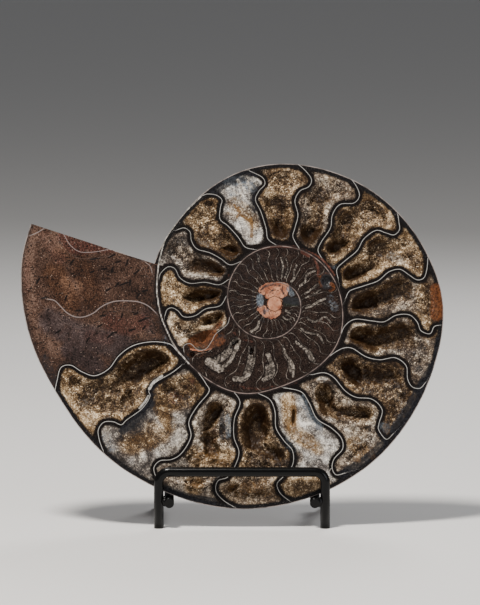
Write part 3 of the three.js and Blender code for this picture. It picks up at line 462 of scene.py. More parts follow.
def nearest(points, line, reach=None):
    """Distance from each point to a line, the side it lies on, and the nearest point. Points further
    away than reach are only told that they are."""
    distance = np.full(len(points), NOT_NEAR)
    side = np.ones(len(points))
    foot = points.copy()
    if reach is None:
        wanted = np.arange(len(points))
    else:
        low, high = line.min(0) - reach, line.max(0) + reach
        wanted = np.flatnonzero(((points > low) & (points < high)).all(1))
    starts, ways = line[:-1], np.diff(line, axis=0)
    squared = np.maximum((ways ** 2).sum(1), 1e-12)
    for part in np.array_split(wanted, max(1, len(wanted) * len(ways) // 2_000_000)):
        away = points[part, None] - starts
        t = np.clip((away * ways).sum(2) / squared, 0, 1)
        away -= t[..., None] * ways
        k = (away ** 2).sum(2).argmin(1)
        row = np.arange(len(part))
        off = away[row, k]
        distance[part] = np.hypot(*off.T)
        side[part] = np.where(ways[k, 0] * off[:, 1] - ways[k, 1] * off[:, 0] >= 0, 1, -1)
        foot[part] = points[part] - off
    return distance, side, foot


def inside(points, loop):
    """Whether each point lies in a closed loop."""
    crossings = np.zeros(len(points), int)
    for (ax, ay), (bx, by) in zip(loop, np.roll(loop, -1, axis=0)):
        spans = (ay > points[:, 1]) != (by > points[:, 1])
        if ay != by:
            crossings += spans & (points[:, 0] < ax + (bx - ax) * (points[:, 1] - ay) / (by - ay))
    return crossings % 2 == 1


# Repeatable roughness
def scatter(i, j, seed):
    value = np.sin(i * 127.1 + j * 311.7 + seed * 74.7) * 43758.5453
    return value - np.floor(value)


def roughness_at(points, size, seed):
    """Smooth noise from -1 to 1 with bumps of about a size in millimetres."""
    grid = points / size
    corner = np.floor(grid)
    t = grid - corner
    t = t * t * (3 - 2 * t)
    values = [[scatter(corner[:, 0] + i, corner[:, 1] + j, seed) for j in (0, 1)] for i in (0, 1)]
    low = values[0][0] * (1 - t[:, 1]) + values[0][1] * t[:, 1]
    high = values[1][0] * (1 - t[:, 1]) + values[1][1] * t[:, 1]
    return 2 * (low * (1 - t[:, 0]) + high * t[:, 0]) - 1


# The coil's whorls, its thickness and its septa
def outer_turn(points):
    """The turn of the outermost whorl that lies in each face point's direction."""
    angle = np.degrees(np.arctan2(points[:, 1], points[:, 0]))
    return angle + 360 * np.ceil((MOUTH_TURN - angle) / 360)


def at_turn(turn, radius):
    angle = np.radians(turn)
    return np.stack([radius * np.cos(angle), radius * np.sin(angle)], -1)


def whorl_place(points):
    """For each face point its whorl (0 outside), its turn, and its distance to the whorl's inner and
    outer walls."""
    radius, turn = np.hypot(*points.T), outer_turn(points)
    whorl = sum((radius < coil_radius(turn + 360 * n)).astype(int) for n in (1, 2, 3))
    turn_in_whorl = turn + 360 * whorl
    outer = np.where(whorl == 0, rim_radius(turn_in_whorl), coil_radius(turn_in_whorl))
    inner = np.where(whorl == 3, 0, coil_radius(turn_in_whorl + 360))
    return whorl, turn_in_whorl, radius - inner, outer - radius


# The flank's profile over shares of a whorl's radius: it rises from the seam, and falls from the crest
SEAM, SHOULDER, CREST = 0.24, 0.31, 0.42
SHOULDER_LEVEL, FLANK_ROUNDNESS, EDGE_SHARPNESS = 0.95, 2.2, 0.62


def flank_share(share):
    shoulder = SHOULDER_LEVEL * smoothstep(share, SEAM, SHOULDER)
    top = 1 - (1 - SHOULDER_LEVEL) * np.clip((CREST - share) / (CREST - SHOULDER), 0, 1) ** 2
    fall = np.clip((share - CREST) / (1 - CREST), 0, 1) ** FLANK_ROUNDNESS
    flank = (1 - fall) ** EDGE_SHARPNESS
    return np.where(share >= 1, 0, np.where(share < SHOULDER, shoulder, np.where(share < CREST, top, flank)))


def thickness(turn, radius):
    """Stone behind the face at a turn of the outermost whorl and a radius."""
    most = np.where(radius < SHOULDER * rim_radius(turn), UMBILICUS_FILL, 0.0)
    for whorl in range(3):
        edge = rim_radius(turn) if whorl == 0 else coil_radius(turn + 360 * whorl)
        most = np.maximum(most, WIDTH_SHARE * edge * flank_share(radius / edge))
    return most


def thickness_at(points):
    return thickness(outer_turn(points), np.hypot(*points.T))


def spiral_points(turn, height):
    """Face points at a turn and a share of the whorl's height."""
    inner = coil_radius(turn + 360)
    return at_turn(turn, inner + height * (coil_radius(turn) - inner))


def turn_and_height(points, near):
    angle = np.degrees(np.arctan2(points[..., 1], points[..., 0]))
    turn = angle + 360 * np.round((near - angle) / 360)
    inner = coil_radius(turn + 360)
    return turn, (np.hypot(points[..., 0], points[..., 1]) - inner) / (coil_radius(turn) - inner)


SEPTUM_SAMPLES = 201
septum_lines = [through(face_points(points), 12) for points in SEPTA]
septum_evenly = [evenly(line, SEPTUM_SAMPLES) for line in septum_lines]


def septum_turn(number):
    return FIRST_SEPTUM_TURN + TURN_BETWEEN_SEPTA * (number - 1)


# A hollow keeps to these heights in its whorl, and its walls take up at most this share of its width
INNER_MARGIN, OUTER_MARGIN, MOST_MARGIN = 0.08, 0.92, 0.42


def septum_reach(number):
    """The stretch of a septum, as shares of its length, that bounds a chamber's hollow."""
    points, _ = septum_evenly[number - 1]
    _, height = turn_and_height(points, septum_turn(number))
    reached = np.flatnonzero((height > INNER_MARGIN) & (height < OUTER_MARGIN))
    return reached[0] / (SEPTUM_SAMPLES - 1), reached[-1] / (SEPTUM_SAMPLES - 1)


def chamber_points(number, across, along):
    """Points of a chamber: across from one septum to the next, along from the inside outwards."""
    walls = []
    for septum in (number, number + 1):
        points, ways = septum_evenly[septum - 1]
        first, last = septum_reach(septum)
        place = (first + (last - first) * along) * (SEPTUM_SAMPLES - 1)
        i = np.clip(place.astype(int), 0, SEPTUM_SAMPLES - 2)
        t = (place - i)[:, None]
        point = points[i] * (1 - t) + points[i + 1] * t
        walls.append((point, ways[i], turn_and_height(point, septum_turn(septum))))
    gap = walls[1][0] - walls[0][0]
    margin = [
        np.minimum(WALL_BAND / np.abs(gap[:, 0] * way[:, 1] - gap[:, 1] * way[:, 0]), MOST_MARGIN)
        for _, way, _ in walls
    ]
    share = margin[0] + (1 - margin[0] - margin[1]) * across
    turn, height = (a + (b - a) * share for a, b in zip(walls[0][2], walls[1][2]))
    return spiral_points(turn, height)


ALONG_STEPS, SHORT_ALONG_STEPS, ACROSS_STEPS = 8, 4, 3
CORNER_ACROSS, CORNER_ALONG, TIP_ROUNDING = 0.11, 0.028, 0.45


def hollow_rim(number):
    """The closed rim of a chamber's hollow, through the same points as in the CAD part."""
    low, high = HOLLOW_STRETCH.get(number, (0, 1))
    steps = SHORT_ALONG_STEPS if high - low < 0.5 else ALONG_STEPS
    side = [
        (CORNER_ACROSS if i in (0, steps) else 0, min(max(i / steps, CORNER_ALONG), 1 - CORNER_ALONG))
        for i in range(steps + 1)
    ]
    ends = [(i + 1) / ACROSS_STEPS for i in range(ACROSS_STEPS - 1)]
    loop = side + [(x, 1) for x in ends] + [(1 - x, 1 - y) for x, y in side] + [(1 - x, 0) for x in ends]
    across, along = np.array(loop, float).T
    points = chamber_points(number, across, low + (high - low) * along)
    middles = (np.roll(points, 1, axis=0) + np.roll(points, -1, axis=0)) / 2
    return through(points + (middles - points) * TIP_ROUNDING, 6, closed=True)


hollow_rims = {number: hollow_rim(number) for number in HOLLOWS}
SPOT_INNER, SPOT_OUTER = 0.35, 1.25


def hollow_share(points, number):
    """How near a chamber's deepest level the crystals lie, 0 near the face to 1."""
    share = np.zeros(len(points))
    for start, end, radius, reach in HOLLOWS[number]:
        away, _, _ = nearest(points, face_points([start, end]))
        share = np.maximum(share, reach * (1 - smoothstep(away / (radius * MM_PER_PIXEL), SPOT_INNER, SPOT_OUTER)))
    return share


def pocket_depth(points, from_rim):
    """Depth of a hollow: a share of the stone behind it, and no deeper than its width allows."""
    by_width = 1.0 + 2 * POCKET_TO_WIDTH * from_rim
    return np.clip(np.minimum(POCKET_SHARE * thickness_at(points), by_width), POCKET_LEAST, POCKET_MOST)


RIM_REACH, WELL_INSIDE = 3.0, 30.0


def rim_distance(points, rim):
    """Distance to a hollow's rim, positive inside it, and the nearest point of the rim. Beyond its
    reach, all points inside are told that they are well inside."""
    distance, _, foot = nearest(points, np.vstack([rim, rim[:1]]), RIM_REACH)
    within = np.where(distance < NOT_NEAR, distance, WELL_INSIDE)
    return np.where(inside(points, rim), within, -distance), foot


CRUST_AT_RIM = 0.15     # depth of the crystals at a hollow's rim
CRUST_SHALLOW = 0.45    # and near it
CRUST_BANK_WIDTH = 1.7  # they come up to the rim over this width
CRUST_BROAD = 1.5       # and lie this much lower in the middle of a wide chamber
CRUST_LEAST = 1.2       # and at least this far above the hollow's floor


def wander_at(points, size, across_seed, along_seed):
    """How far a ragged edge strays from each point, in both directions."""
    return np.stack([roughness_at(points, size, seed) for seed in (across_seed, along_seed)], 1)


def crust_depth(points, number, from_rim):
    """Depth of the lumpy bowl that the crystals grow in. Its edge wanders, and its floor is lumpy, at
    two sizes each."""
    wander = wander_at(points, 3.2, number, number + 40)
    wander += 0.5 * wander_at(points, 1.5, number + 60, number + 80)
    lumps = 1.1 * roughness_at(points, 4.2, number + 3) + 0.55 * roughness_at(points, 2.0, number + 9)
    broad = smoothstep(from_rim, 0.3, 4.0)
    room = pocket_depth(points, from_rim) - CRUST_LEAST
    shallow = CRUST_SHALLOW + broad * (CRUST_BROAD + lumps)
    deep = hollow_share(points + 1.1 * wander, number) * np.maximum(room - shallow, 0) * (0.9 + 0.1 * lumps)
    below_rim = np.clip(shallow + deep - CRUST_AT_RIM, 0.2, room)
    return CRUST_AT_RIM + smoothstep(from_rim, 0.0, CRUST_BANK_WIDTH) * below_rim


# The pattern of the cut face as fields over it, which the materials turn into colour
def typical_septum():
    """The usual curve of a septum: how far it swings in turn, by its height in the whorl."""
    shapes = []
    for number in range(7, 14):
        turn, height = turn_and_height(septum_evenly[number - 1][0][::8], septum_turn(number))
        shapes.append(np.stack([turn - septum_turn(number), height], 1))
    return np.mean(shapes, axis=0)


INNER_SEPTA_FROM, INNER_SEPTA_TO = 564.0, 1190.0
INNER_SEPTA_SPACING, INNER_SEPTA_STRAY = 11.0, 3.0
INNER_SWING = 0.62
INNER_FOOT, INNER_HEIGHT = 0.04, 0.92       # shares of the whorl's height


def inner_septum_lines():
    """The septa of the inner whorls: the usual curve, evenly round the coil but for some stray."""
    swing, height = typical_septum().T
    height = (height - height[0]) / (height[-1] - height[0])
    lines = []
    for i, turn in enumerate(np.arange(INNER_SEPTA_FROM, INNER_SEPTA_TO, INNER_SEPTA_SPACING)):
        start = turn + INNER_SEPTA_STRAY * (scatter(i, 3, 5) - 0.5)
        stretch = INNER_SWING * (0.8 + 0.4 * scatter(i, 7, 2))
        swung = start + stretch * (swing - swing.mean())
        lines.append(spiral_points(swung, INNER_FOOT + INNER_HEIGHT * height))
    return lines


inner_lines = inner_septum_lines()
BAND_HALF = 1.8                         # from a septum's middle to the chamber's filling
LAST_BAND_HALF = 0.5                    # the last septum has almost no dark band
WALL_HALF = 2.7                         # from the wall inside the whorl to the filling
RIM_HALF, NARROW_RIM_HALF = 2.3, 1.9    # from the shell's outer edge to the filling
RIM_NARROWS = (495, 530)                # between these turns the one goes over into the other
WALL_CORNER, RIM_CORNER = 3.4, 2.6      # how round the filling's corners are there
FAR = 20.0
LAST_CHAMBER_END = 640.0                # no chamber of the outer whorl lies past this turn
LAST_SEPTUM_REACH = 2.5
INNER_WARMTH, INNER_LIGHT = 0.5, 0.3
SEPTUM_REACH, SEPTUM_TURNS = 16.0, 60   # a septum counts within this distance and this many degrees
INNER_SEPTUM_REACH, INNER_SEPTUM_TURNS = 5.0, 40
LINE_REACH, DASH_REACH, JOINT_REACH = 6.0, 4.0, 3.0
JOINT_THINNESS = 0.12                   # joints in the coil's middle are this much thinner than cracks
GOLDEN_WARMS, GOLDEN_DARKENS = 0.75, 0.07
BRIGHT_LIGHTENS, DIM_DARKENS = 0.13, 0.17


def parity(number):
    return np.where(number % 2 == 0, 1.0, -1.0)


def soft_least(a, b, softness):
    t = np.clip(0.5 + 0.5 * (b - a) / softness, 0, 1)
    return b + (a - b) * t - softness * t * (1 - t)


def chamber_of(points, turn):
    """Each point's chamber (0 the body chamber), its distance to the nearest septum and how bright that is."""
    distance = np.full(len(points), NOT_NEAR)
    bright = np.ones(len(points))
    chamber = np.where(turn > septum_turn(len(SEPTA)), len(SEPTA), 0)
    for number, line in enumerate(septum_lines, start=1):
        away, side, _ = nearest(points, line, SEPTUM_REACH)
        away = np.where(np.abs(turn - septum_turn(number)) < SEPTUM_TURNS, away, NOT_NEAR)
        closer = away < distance
        distance = np.where(closer, away, distance)
        chamber = np.where(closer, np.where(side > 0, number, number - 1), chamber)
        bright = np.where(closer, SEPTUM_BRIGHTNESS[number - 1], bright)
    return chamber, distance, bright


STAINS = ("Blue", "Shade", "Ochre", "White", "Red", "Rust")     # in the order that they are laid on
STROKE_INNER, STROKE_OUTER = 0.55, 1.3


def stroke_mask(points, strokes):
    """How strongly a set of strokes covers each point. A stroke fades across its half width."""
    mask = np.zeros(len(points))
    for photo_points, half_width, strength in strokes:
        line = face_points(photo_points)
        line = through(line, 5) if len(line) > 2 else np.vstack([line, line[-1:] + 1e-3])
        radius = half_width * MM_PER_PIXEL
        away, _, _ = nearest(points, line, 1.4 * radius + 0.5)
        mask = np.maximum(mask, strength * (1 - smoothstep(away / radius, STROKE_INNER, STROKE_OUTER)))
    return mask


def pen_field(points):
    """Side and distance to the nearest pale line, in units of that line's half width."""
    field = np.full(len(points), FAR)
    for photo_points, half_width in PEN_LINES:
        away, side, _ = nearest(points, through(face_points(photo_points), 6), LINE_REACH)
        scaled = np.minimum(away / half_width, FAR)
        field = np.where(scaled < np.abs(field), side * scaled, field)
    return field


def stout_field(points):
    """Distance to the nearest stout wall, in units of its half width."""
    field = np.full(len(points), FAR)
    for photo_points, half_width in STOUT_WALLS:
        away, _, _ = nearest(points, through(face_points(photo_points), 6), LINE_REACH)
        field = np.minimum(field, away / half_width)
    return field


def dash_field(points):
    """Distance to the nearest crack in the sediment or joint in the coil's middle."""
    field = np.full(len(points), FAR)
    for joint in JOINTS:
        away, _, _ = nearest(points, face_points(joint), JOINT_REACH)
        field = np.minimum(field, away + JOINT_THINNESS)
    for middle, direction, length in DASHES:
        angle = math.radians(direction)
        along = np.array([math.cos(angle), math.sin(angle)]) * length * MM_PER_PIXEL / 2
        middle = face_points([middle])[0]
        away, _, _ = nearest(points, np.array([middle - along, middle + along]), DASH_REACH)
        field = np.minimum(field, away)
    return field


def inner_field(points, turn):
    """Side and distance to the nearest septum of the inner whorls."""
    distance = np.full(len(points), FAR)
    field = np.full(len(points), FAR)
    for i, line in enumerate(inner_lines):
        away, side, _ = nearest(points, line, INNER_SEPTUM_REACH)
        swept = np.abs(turn - (INNER_SEPTA_FROM + i * INNER_SEPTA_SPACING))
        away = np.where(swept < INNER_SEPTUM_TURNS, away, NOT_NEAR)
        closer = away < distance
        distance = np.where(closer, away, distance)
        field = np.where(closer, away * side * parity(i), field)
    return field


def face_fields(points):
    """The pattern's fields at face points: distances, strokes, and each chamber's warmth and light."""
    whorl, turn, above, below = whorl_place(points)
    chamber, to_septum, line_light = chamber_of(points, turn)
    last_away, _, _ = nearest(points, septum_lines[-1], 8.0)
    inner = (turn > LAST_CHAMBER_END) | (chamber == len(SEPTA))
    outermost = whorl == 0
    to_septum = np.where(inner & (last_away > LAST_SEPTUM_REACH), FAR, np.minimum(to_septum, FAR))
    chamber = np.where(inner, len(SEPTA), chamber)
    wall = np.where(outermost, above, np.where(whorl == 3, below, np.minimum(above, below)))
    outer_half = np.interp(turn, RIM_NARROWS, [RIM_HALF, NARROW_RIM_HALF])
    band = np.where(to_septum > last_away - 1e-6, LAST_BAND_HALF, BAND_HALF)
    fill = soft_least(to_septum - band, above - WALL_HALF, WALL_CORNER)
    fill = soft_least(fill, below - outer_half, RIM_CORNER)
    in_chamber = (chamber >= 1) & (chamber < len(SEPTA))
    spread = np.zeros((2, len(SEPTA) + 1))
    for number in CHAMBER_WARMTH:
        spread[:, number] = CHAMBER_WARMTH[number], CHAMBER_LIGHT[number]
    spread[:, len(SEPTA)] = INNER_WARMTH, INNER_LIGHT
    fields = {
        "septum": to_septum * parity(chamber),
        "line_light": line_light,
        "wall": wall * parity(whorl),
        "rim": np.where(outermost, below, FAR),
        "fill": np.where(in_chamber, fill, -FAR),
        "sediment": np.where(chamber == 0, to_septum, -to_septum),
        "inner_whorls": inner.astype(float),
        "inner_septum": np.where(inner, inner_field(points, turn), FAR),
        "coil_middle": np.hypot(*points.T),
        "pen": pen_field(points),
        "stout": stout_field(points),
        "dash": dash_field(points),
        "warmth": spread[0][chamber],
        "light": spread[1][chamber],
    }
    for name, strokes in STROKES.items():
        fields[name] = stroke_mask(points, strokes)
    golden, bright, dim_and_painted_shade = (fields.pop(name) for name in ("golden", "bright", "dim_and_painted_shade"))
    fields["warmth"] = fields["warmth"] + GOLDEN_WARMS * golden
    light = fields["light"] - GOLDEN_DARKENS * golden
    fields["light"] = light + BRIGHT_LIGHTENS * bright - DIM_DARKENS * dim_and_painted_shade
    return fields


# Meshes
MM = 0.001
hoop_low, hoop_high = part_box("stand_front_hoop")
STAND_X = (hoop_low[0] + hoop_high[0]) / 2 / MM
LEG_Y = (hoop_low[1] + hoop_high[1]) / 2 / MM
COIL_UP_FACE = (PHOTO_FLOOR - PHOTO_COIL_CENTRE[1]) * MM_PER_PIXEL
COIL_X = STAND_X + (PHOTO_COIL_CENTRE[0] - PHOTO_STAND_MIDDLE) * MM_PER_PIXEL


def on_face(points, depth):
    """Places in the shared frame, in millimetres, of face points at a depth behind the face."""
    up = COIL_UP_FACE + points[:, 1]
    sine, cosine = math.sin(FACE_LEAN), math.cos(FACE_LEAN)
    return np.stack([
        COIL_X + points[:, 0],
        LEG_Y + FACE_SETBACK + up * sine + depth * cosine,
        up * cosine - depth * sine,
    ], 1)


def piece(name, vertices, triangles, materials, fields=None, smooth=None, material_index=None):
    """A mesh object from arrays: vertices in millimetres, triangles, and a field a vertex."""
    mesh = bpy.data.meshes.new(name)
    count = len(triangles)
    mesh.vertices.add(len(vertices))
    mesh.vertices.foreach_set("co", (np.asarray(vertices) * MM).ravel())
    mesh.loops.add(3 * count)
    mesh.loops.foreach_set("vertex_index", np.asarray(triangles, np.int32).ravel())
    mesh.polygons.add(count)
    mesh.polygons.foreach_set("loop_start", np.arange(0, 3 * count, 3, dtype=np.int32))
    for material in materials:
        mesh.materials.append(material)
    if smooth is not None:
        mesh.polygons.foreach_set("use_smooth", np.broadcast_to(smooth, count).astype(bool))
    if material_index is not None:
        mesh.polygons.foreach_set("material_index", np.asarray(material_index, np.int32))
    mesh.update(calc_edges=True)
    mesh.validate()
    for field, values in (fields or {}).items():
        layer = mesh.attributes.new(field, "FLOAT", "POINT")
        layer.data.foreach_set("value", np.asarray(values, np.float32))
    made = bpy.data.objects.new(name, mesh)
    bpy.context.scene.collection.objects.link(made)
    return made


def grid_triangles(rows, columns):
    """Two triangles for each cell of a grid of points that are numbered row by row."""
    i, j = np.meshgrid(np.arange(rows - 1), np.arange(columns - 1), indexing="ij")
    a = (i * columns + j).ravel()
    return np.vstack([
        np.stack([a, a + columns, a + columns + 1], 1), np.stack([a, a + columns + 1, a + 1], 1),
    ])


FACE_STEP = 0.66                # between the points of the face's coarse lattice
SNAP_REACH = FACE_STEP * 0.5    # points as near to an edge as this are moved onto it
FINE_BEFORE = 4                 # the fine lattice starts this many degrees before the inner septa


def shell_outline():
    turns = np.arange(MOUTH_TURN, LAST_TURN + 0.5, 1.0)
    return at_turn(turns, rim_radius(turns))


def lattice():
    """A square lattice over the face. It has two steps: every other point makes the coarse one."""
    half = FACE_STEP / 2
    outline = shell_outline()
    low, high = outline.min(0) - FACE_STEP, outline.max(0) + FACE_STEP
    cells = np.ceil((high - low) / FACE_STEP).astype(int)
    i, j = np.meshgrid(np.arange(2 * cells[0] + 1), np.arange(2 * cells[1] + 1), indexing="ij")
    return cells, low + half * np.stack([i.ravel(), j.ravel()], 1)


def snapped_to_outline(points, coarse):
    """Points near the shell's outline go onto it. Returns each point's side: 1 in, 0 on, -1 out."""
    outline = shell_outline()
    closed = np.vstack([outline, outline[:1]])
    side = np.where(np.hypot(*points.T) < rim_radius(outer_turn(points)), 1, -1)
    away, _, foot = nearest(points[coarse], closed)
    close = away < SNAP_REACH
    points[coarse[close]] = foot[close]
    side[coarse[close]] = 0
    return side


def face_triangles(cells, points, refined, side, rim_side):
    """Triangles of the coarse lattice, of the fine one where refined, and of fans between the two."""
    columns = 2 * cells[1] + 1

    def at(i, j):
        return i * columns + j

    i, j = np.meshgrid(np.arange(cells[0]), np.arange(cells[1]), indexing="ij")
    i, j = 2 * i.ravel(), 2 * j.ravel()
    flags = refined.reshape(cells)
    padded = np.pad(flags, 1)
    near = [padded[1:-1, :-2], padded[2:, 1:-1], padded[1:-1, 2:], padded[:-2, 1:-1]]
    mixed = (~flags & (near[0] | near[1] | near[2] | near[3])).ravel()
    plain = ~flags.ravel() & ~mixed
    corners = [at(i, j), at(i + 2, j), at(i + 2, j + 2), at(i, j + 2)]
    a, b, c, d = (corner[plain] for corner in corners)
    other = (side[a] * side[c] < 0) | (rim_side[a] * rim_side[c] < 0)
    first = np.where(other[:, None], np.stack([a, b, d], 1), np.stack([a, b, c], 1))
    second = np.where(other[:, None], np.stack([b, c, d], 1), np.stack([a, c, d], 1))
    triangles = [first, second]
    for di, dj in ((0, 0), (1, 0), (0, 1), (1, 1)):
        fi, fj = i[flags.ravel()] + di, j[flags.ravel()] + dj
        a, b, c, d = at(fi, fj), at(fi + 1, fj), at(fi + 1, fj + 1), at(fi, fj + 1)
        triangles += [np.stack([a, b, c], 1), np.stack([a, c, d], 1)]
    fans = []
    middles = [(1, 0), (2, 1), (1, 2), (0, 1)]
    for cell in np.flatnonzero(mixed):
        ring = []
        for edge in range(4):
            ring.append(corners[edge][cell])
            if near[edge].ravel()[cell]:
                ring.append(at(i[cell] + middles[edge][0], j[cell] + middles[edge][1]))
        centre = at(i[cell] + 1, j[cell] + 1)
        fans += [(centre, ring[k], ring[(k + 1) % len(ring)]) for k in range(len(ring))]
    triangles.append(np.array(fans, int).reshape(-1, 3))
    triangles = np.vstack(triangles)
    sides = side[triangles]
    kept = (sides >= 0).all(1)
    on_rim = kept & (sides == 0).all(1)
    middle = points[triangles[on_rim]].mean(1)
    kept[on_rim] = np.hypot(*middle.T) < rim_radius(outer_turn(middle))
    return triangles[kept]


BACK_TURN_STEP = 1.25
BACK_SHARES = np.concatenate([np.linspace(0.03, 0.9, 34), np.linspace(0.915, 1.0, 10)])
RIB_COUNT = 46                  # in a whole turn
RIB_HEIGHT = 0.28
RIB_SHARES = (0.3, 0.42, 0.9, 0.985)    # a rib rises and dies away over these shares of the radius
LEAST_RIBBED = 0.6              # stone thinner than this has no ribs
RIBS_FADE_IN = (215, 300)       # they are weak near the mouth and full past these turns


def back_grid():
    """The shell's flank behind the face, with its sickle-shaped ribs, closed at the coil's middle."""
    turns = np.arange(MOUTH_TURN, LAST_TURN + BACK_TURN_STEP / 2, BACK_TURN_STEP)
    turn, share = np.meshgrid(turns, BACK_SHARES, indexing="ij")
    turn, share = turn.ravel(), share.ravel()
    radius = share * rim_radius(turn)
    depth = thickness(turn, radius)
    bend = 9 * np.sin((share - RIB_SHARES[0]) * 5.2) + 14 * np.clip(share - 0.72, 0, 1)
    ribs = np.clip(np.cos(np.radians((turn + bend) * RIB_COUNT)), -0.4, 1) + 0.4
    window = smoothstep(share, *RIB_SHARES[:2]) * (1 - smoothstep(share, *RIB_SHARES[2:]))
    fading = 0.25 + 0.75 * smoothstep(turn, *RIBS_FADE_IN)
    ribbed = depth - RIB_HEIGHT + RIB_HEIGHT * 0.7 * ribs * window * fading
    depth = np.where(depth > LEAST_RIBBED, ribbed, depth)
    points = at_turn(turn, radius)
    rows, columns = len(turns), len(BACK_SHARES)
    innermost = np.arange(rows - 1) * columns
    middle = np.full(rows - 1, len(points))
    closing = np.stack([middle, innermost + columns, innermost], 1)
    triangles = np.vstack([grid_triangles(rows, columns), closing])
    depth = np.append(depth, depth[::columns].mean())
    return np.vstack([points, [[0, 0]]]), depth, triangles, np.append(turn, LAST_TURN), np.append(share, 0)


MOUTH_STEPS, MOUTH_LEVELS = 90, 6


def mouth_wall():
    """The straight cut across the shell's mouth, from the flank behind to the face or inner whorl."""
    radius = np.linspace(MIDDLE_RADIUS, float(rim_radius(MOUTH_TURN)), MOUTH_STEPS)
    deep, inner = (thickness(np.full(MOUTH_STEPS, float(turn)), radius) for turn in (MOUTH_TURN, LAST_TURN))
    shallow = np.where(radius < LIP_RADIUS * MM_PER_PIXEL, inner, 0)
    depth = (shallow[:, None] + (deep - shallow)[:, None] * np.linspace(0, 1, MOUTH_LEVELS)).ravel()
    angle = math.radians(MOUTH_TURN)
    points = np.repeat(radius, MOUTH_LEVELS)[:, None] * [math.cos(angle), math.sin(angle)]
    return points, depth, grid_triangles(MOUTH_STEPS, MOUTH_LEVELS)


# The face's fields on the sawn mouth, which is sediment all through
SEDIMENT_THROUGHOUT = {
    "septum": FAR, "line_light": 1.0, "wall": FAR, "rim": FAR, "fill": -FAR, "sediment": FAR,
    "inner_whorls": 0.0, "inner_septum": FAR, "coil_middle": FAR, "pen": FAR, "stout": FAR, "dash": FAR,
    "warmth": 0.5, "light": 0.5,
    **{name: 0.0 for name in STROKES},
}


STONE_BEHIND_CRYSTALS = 0.7     # the hollow's stone floor lies this far behind its crystals
PIT_INNER, PIT_OUTER = 0.35, 1.05


def fossil_stone(materials):
    """The stone: the polished face with its hollows and pits, the flank behind and the cut mouth."""
    cells, points = lattice()
    columns = 2 * cells[1] + 1
    i, j = np.meshgrid(np.arange(cells[0]), np.arange(cells[1]), indexing="ij")
    middle = points[((2 * i + 1) * columns + 2 * j + 1).ravel()]
    _, turn, _, _ = whorl_place(middle)
    refined = turn > INNER_SEPTA_FROM - FINE_BEFORE
    grid_i, grid_j = np.divmod(np.arange(len(points)), columns)
    coarse = np.flatnonzero((grid_i % 2 == 0) & (grid_j % 2 == 0))
    side = snapped_to_outline(points, coarse)
    rim_side = np.full(len(points), -1)
    depth = np.zeros(len(points))
    for number, rim in hollow_rims.items():
        from_rim, foot = rim_distance(points[coarse], rim)
        close = np.abs(from_rim) < SNAP_REACH
        points[coarse[close]] = foot[close]
        rim_side[coarse[close]] = 0
        within = (from_rim > 0) & ~close
        rim_side[coarse[within]] = 1
        place = points[coarse[within]]
        behind = crust_depth(place, number, from_rim[within]) + STONE_BEHIND_CRYSTALS
        depth[coarse[within]] = np.minimum(behind, pocket_depth(place, from_rim[within]))
    for centre, half_width, half_height, deepest in PITS:
        away = (points - face_points([centre])[0]) / [half_width * MM_PER_PIXEL, half_height * MM_PER_PIXEL]
        reach = np.hypot(*away.T) + 0.12 * roughness_at(points, 0.8, deepest)
        pit = deepest * (1 - smoothstep(reach, PIT_INNER, PIT_OUTER)) * (reach < PIT_OUTER)
        depth = np.maximum(depth, pit)
    triangles = face_triangles(cells, points, refined, side, rim_side)
    used, renumbered = np.unique(triangles, return_inverse=True)
    triangles = renumbered.reshape(-1, 3)
    points, depth = points[used], depth[used]
    fields = face_fields(points)

    back_points, back_depth, back_triangles, back_turn, back_share = back_grid()
    wall_points, wall_depth, wall_triangles = mouth_wall()
    wall_fields = {name: np.full(len(wall_points), value) for name, value in SEDIMENT_THROUGHOUT.items()}
    places = np.vstack([on_face(points, depth), on_face(back_points, back_depth), on_face(wall_points, wall_depth)])
    for name in fields:
        fields[name] = np.concatenate([fields[name], np.full(len(back_points), FAR), wall_fields[name]])
    blank = np.zeros(len(points)), np.zeros(len(wall_points))
    fields["flank_turn"] = np.concatenate([blank[0], back_turn, blank[1]])
    fields["flank_share"] = np.concatenate([blank[0], back_share, blank[1]])
    first_back, first_wall = len(points), len(points) + len(back_points)
    all_triangles = np.vstack([triangles, back_triangles[:, ::-1] + first_back, wall_triangles + first_wall])
    is_back = np.zeros(len(all_triangles), bool)
    is_back[len(triangles):len(triangles) + len(back_triangles)] = True
    surface = is_back.astype(int)
    surface[len(triangles) + len(back_triangles):] = 2
    return piece("fossil_stone", places, all_triangles, materials, fields, is_back, surface)


CRUST_STEP, CRUST_JITTER = 0.24, 0.3    # the jitter is a share of the step
CRUST_UNDER_RIM = 0.35                  # the crust runs this far under the face beyond its rim
CRUST_BEHIND_FACE, CRUST_ABOVE_FLOOR = 0.1, 0.5
CRYSTAL_SIZE = 1.0
CRYSTAL_INSET, CRYSTAL_STRAY = 0.15, 0.7    # where a crystal's point stands in its cell
CRYSTAL_HEIGHT, CRYSTAL_LEAN = 0.75, 0.35
CRYSTAL_SLOPE, SLOPE_SPREAD = 0.75, 0.5
RELIEF, RELIEF_LOST, RELIEF_SUNK = 0.72, 0.4, 0.2   # full, less in the dark hollows, and set down


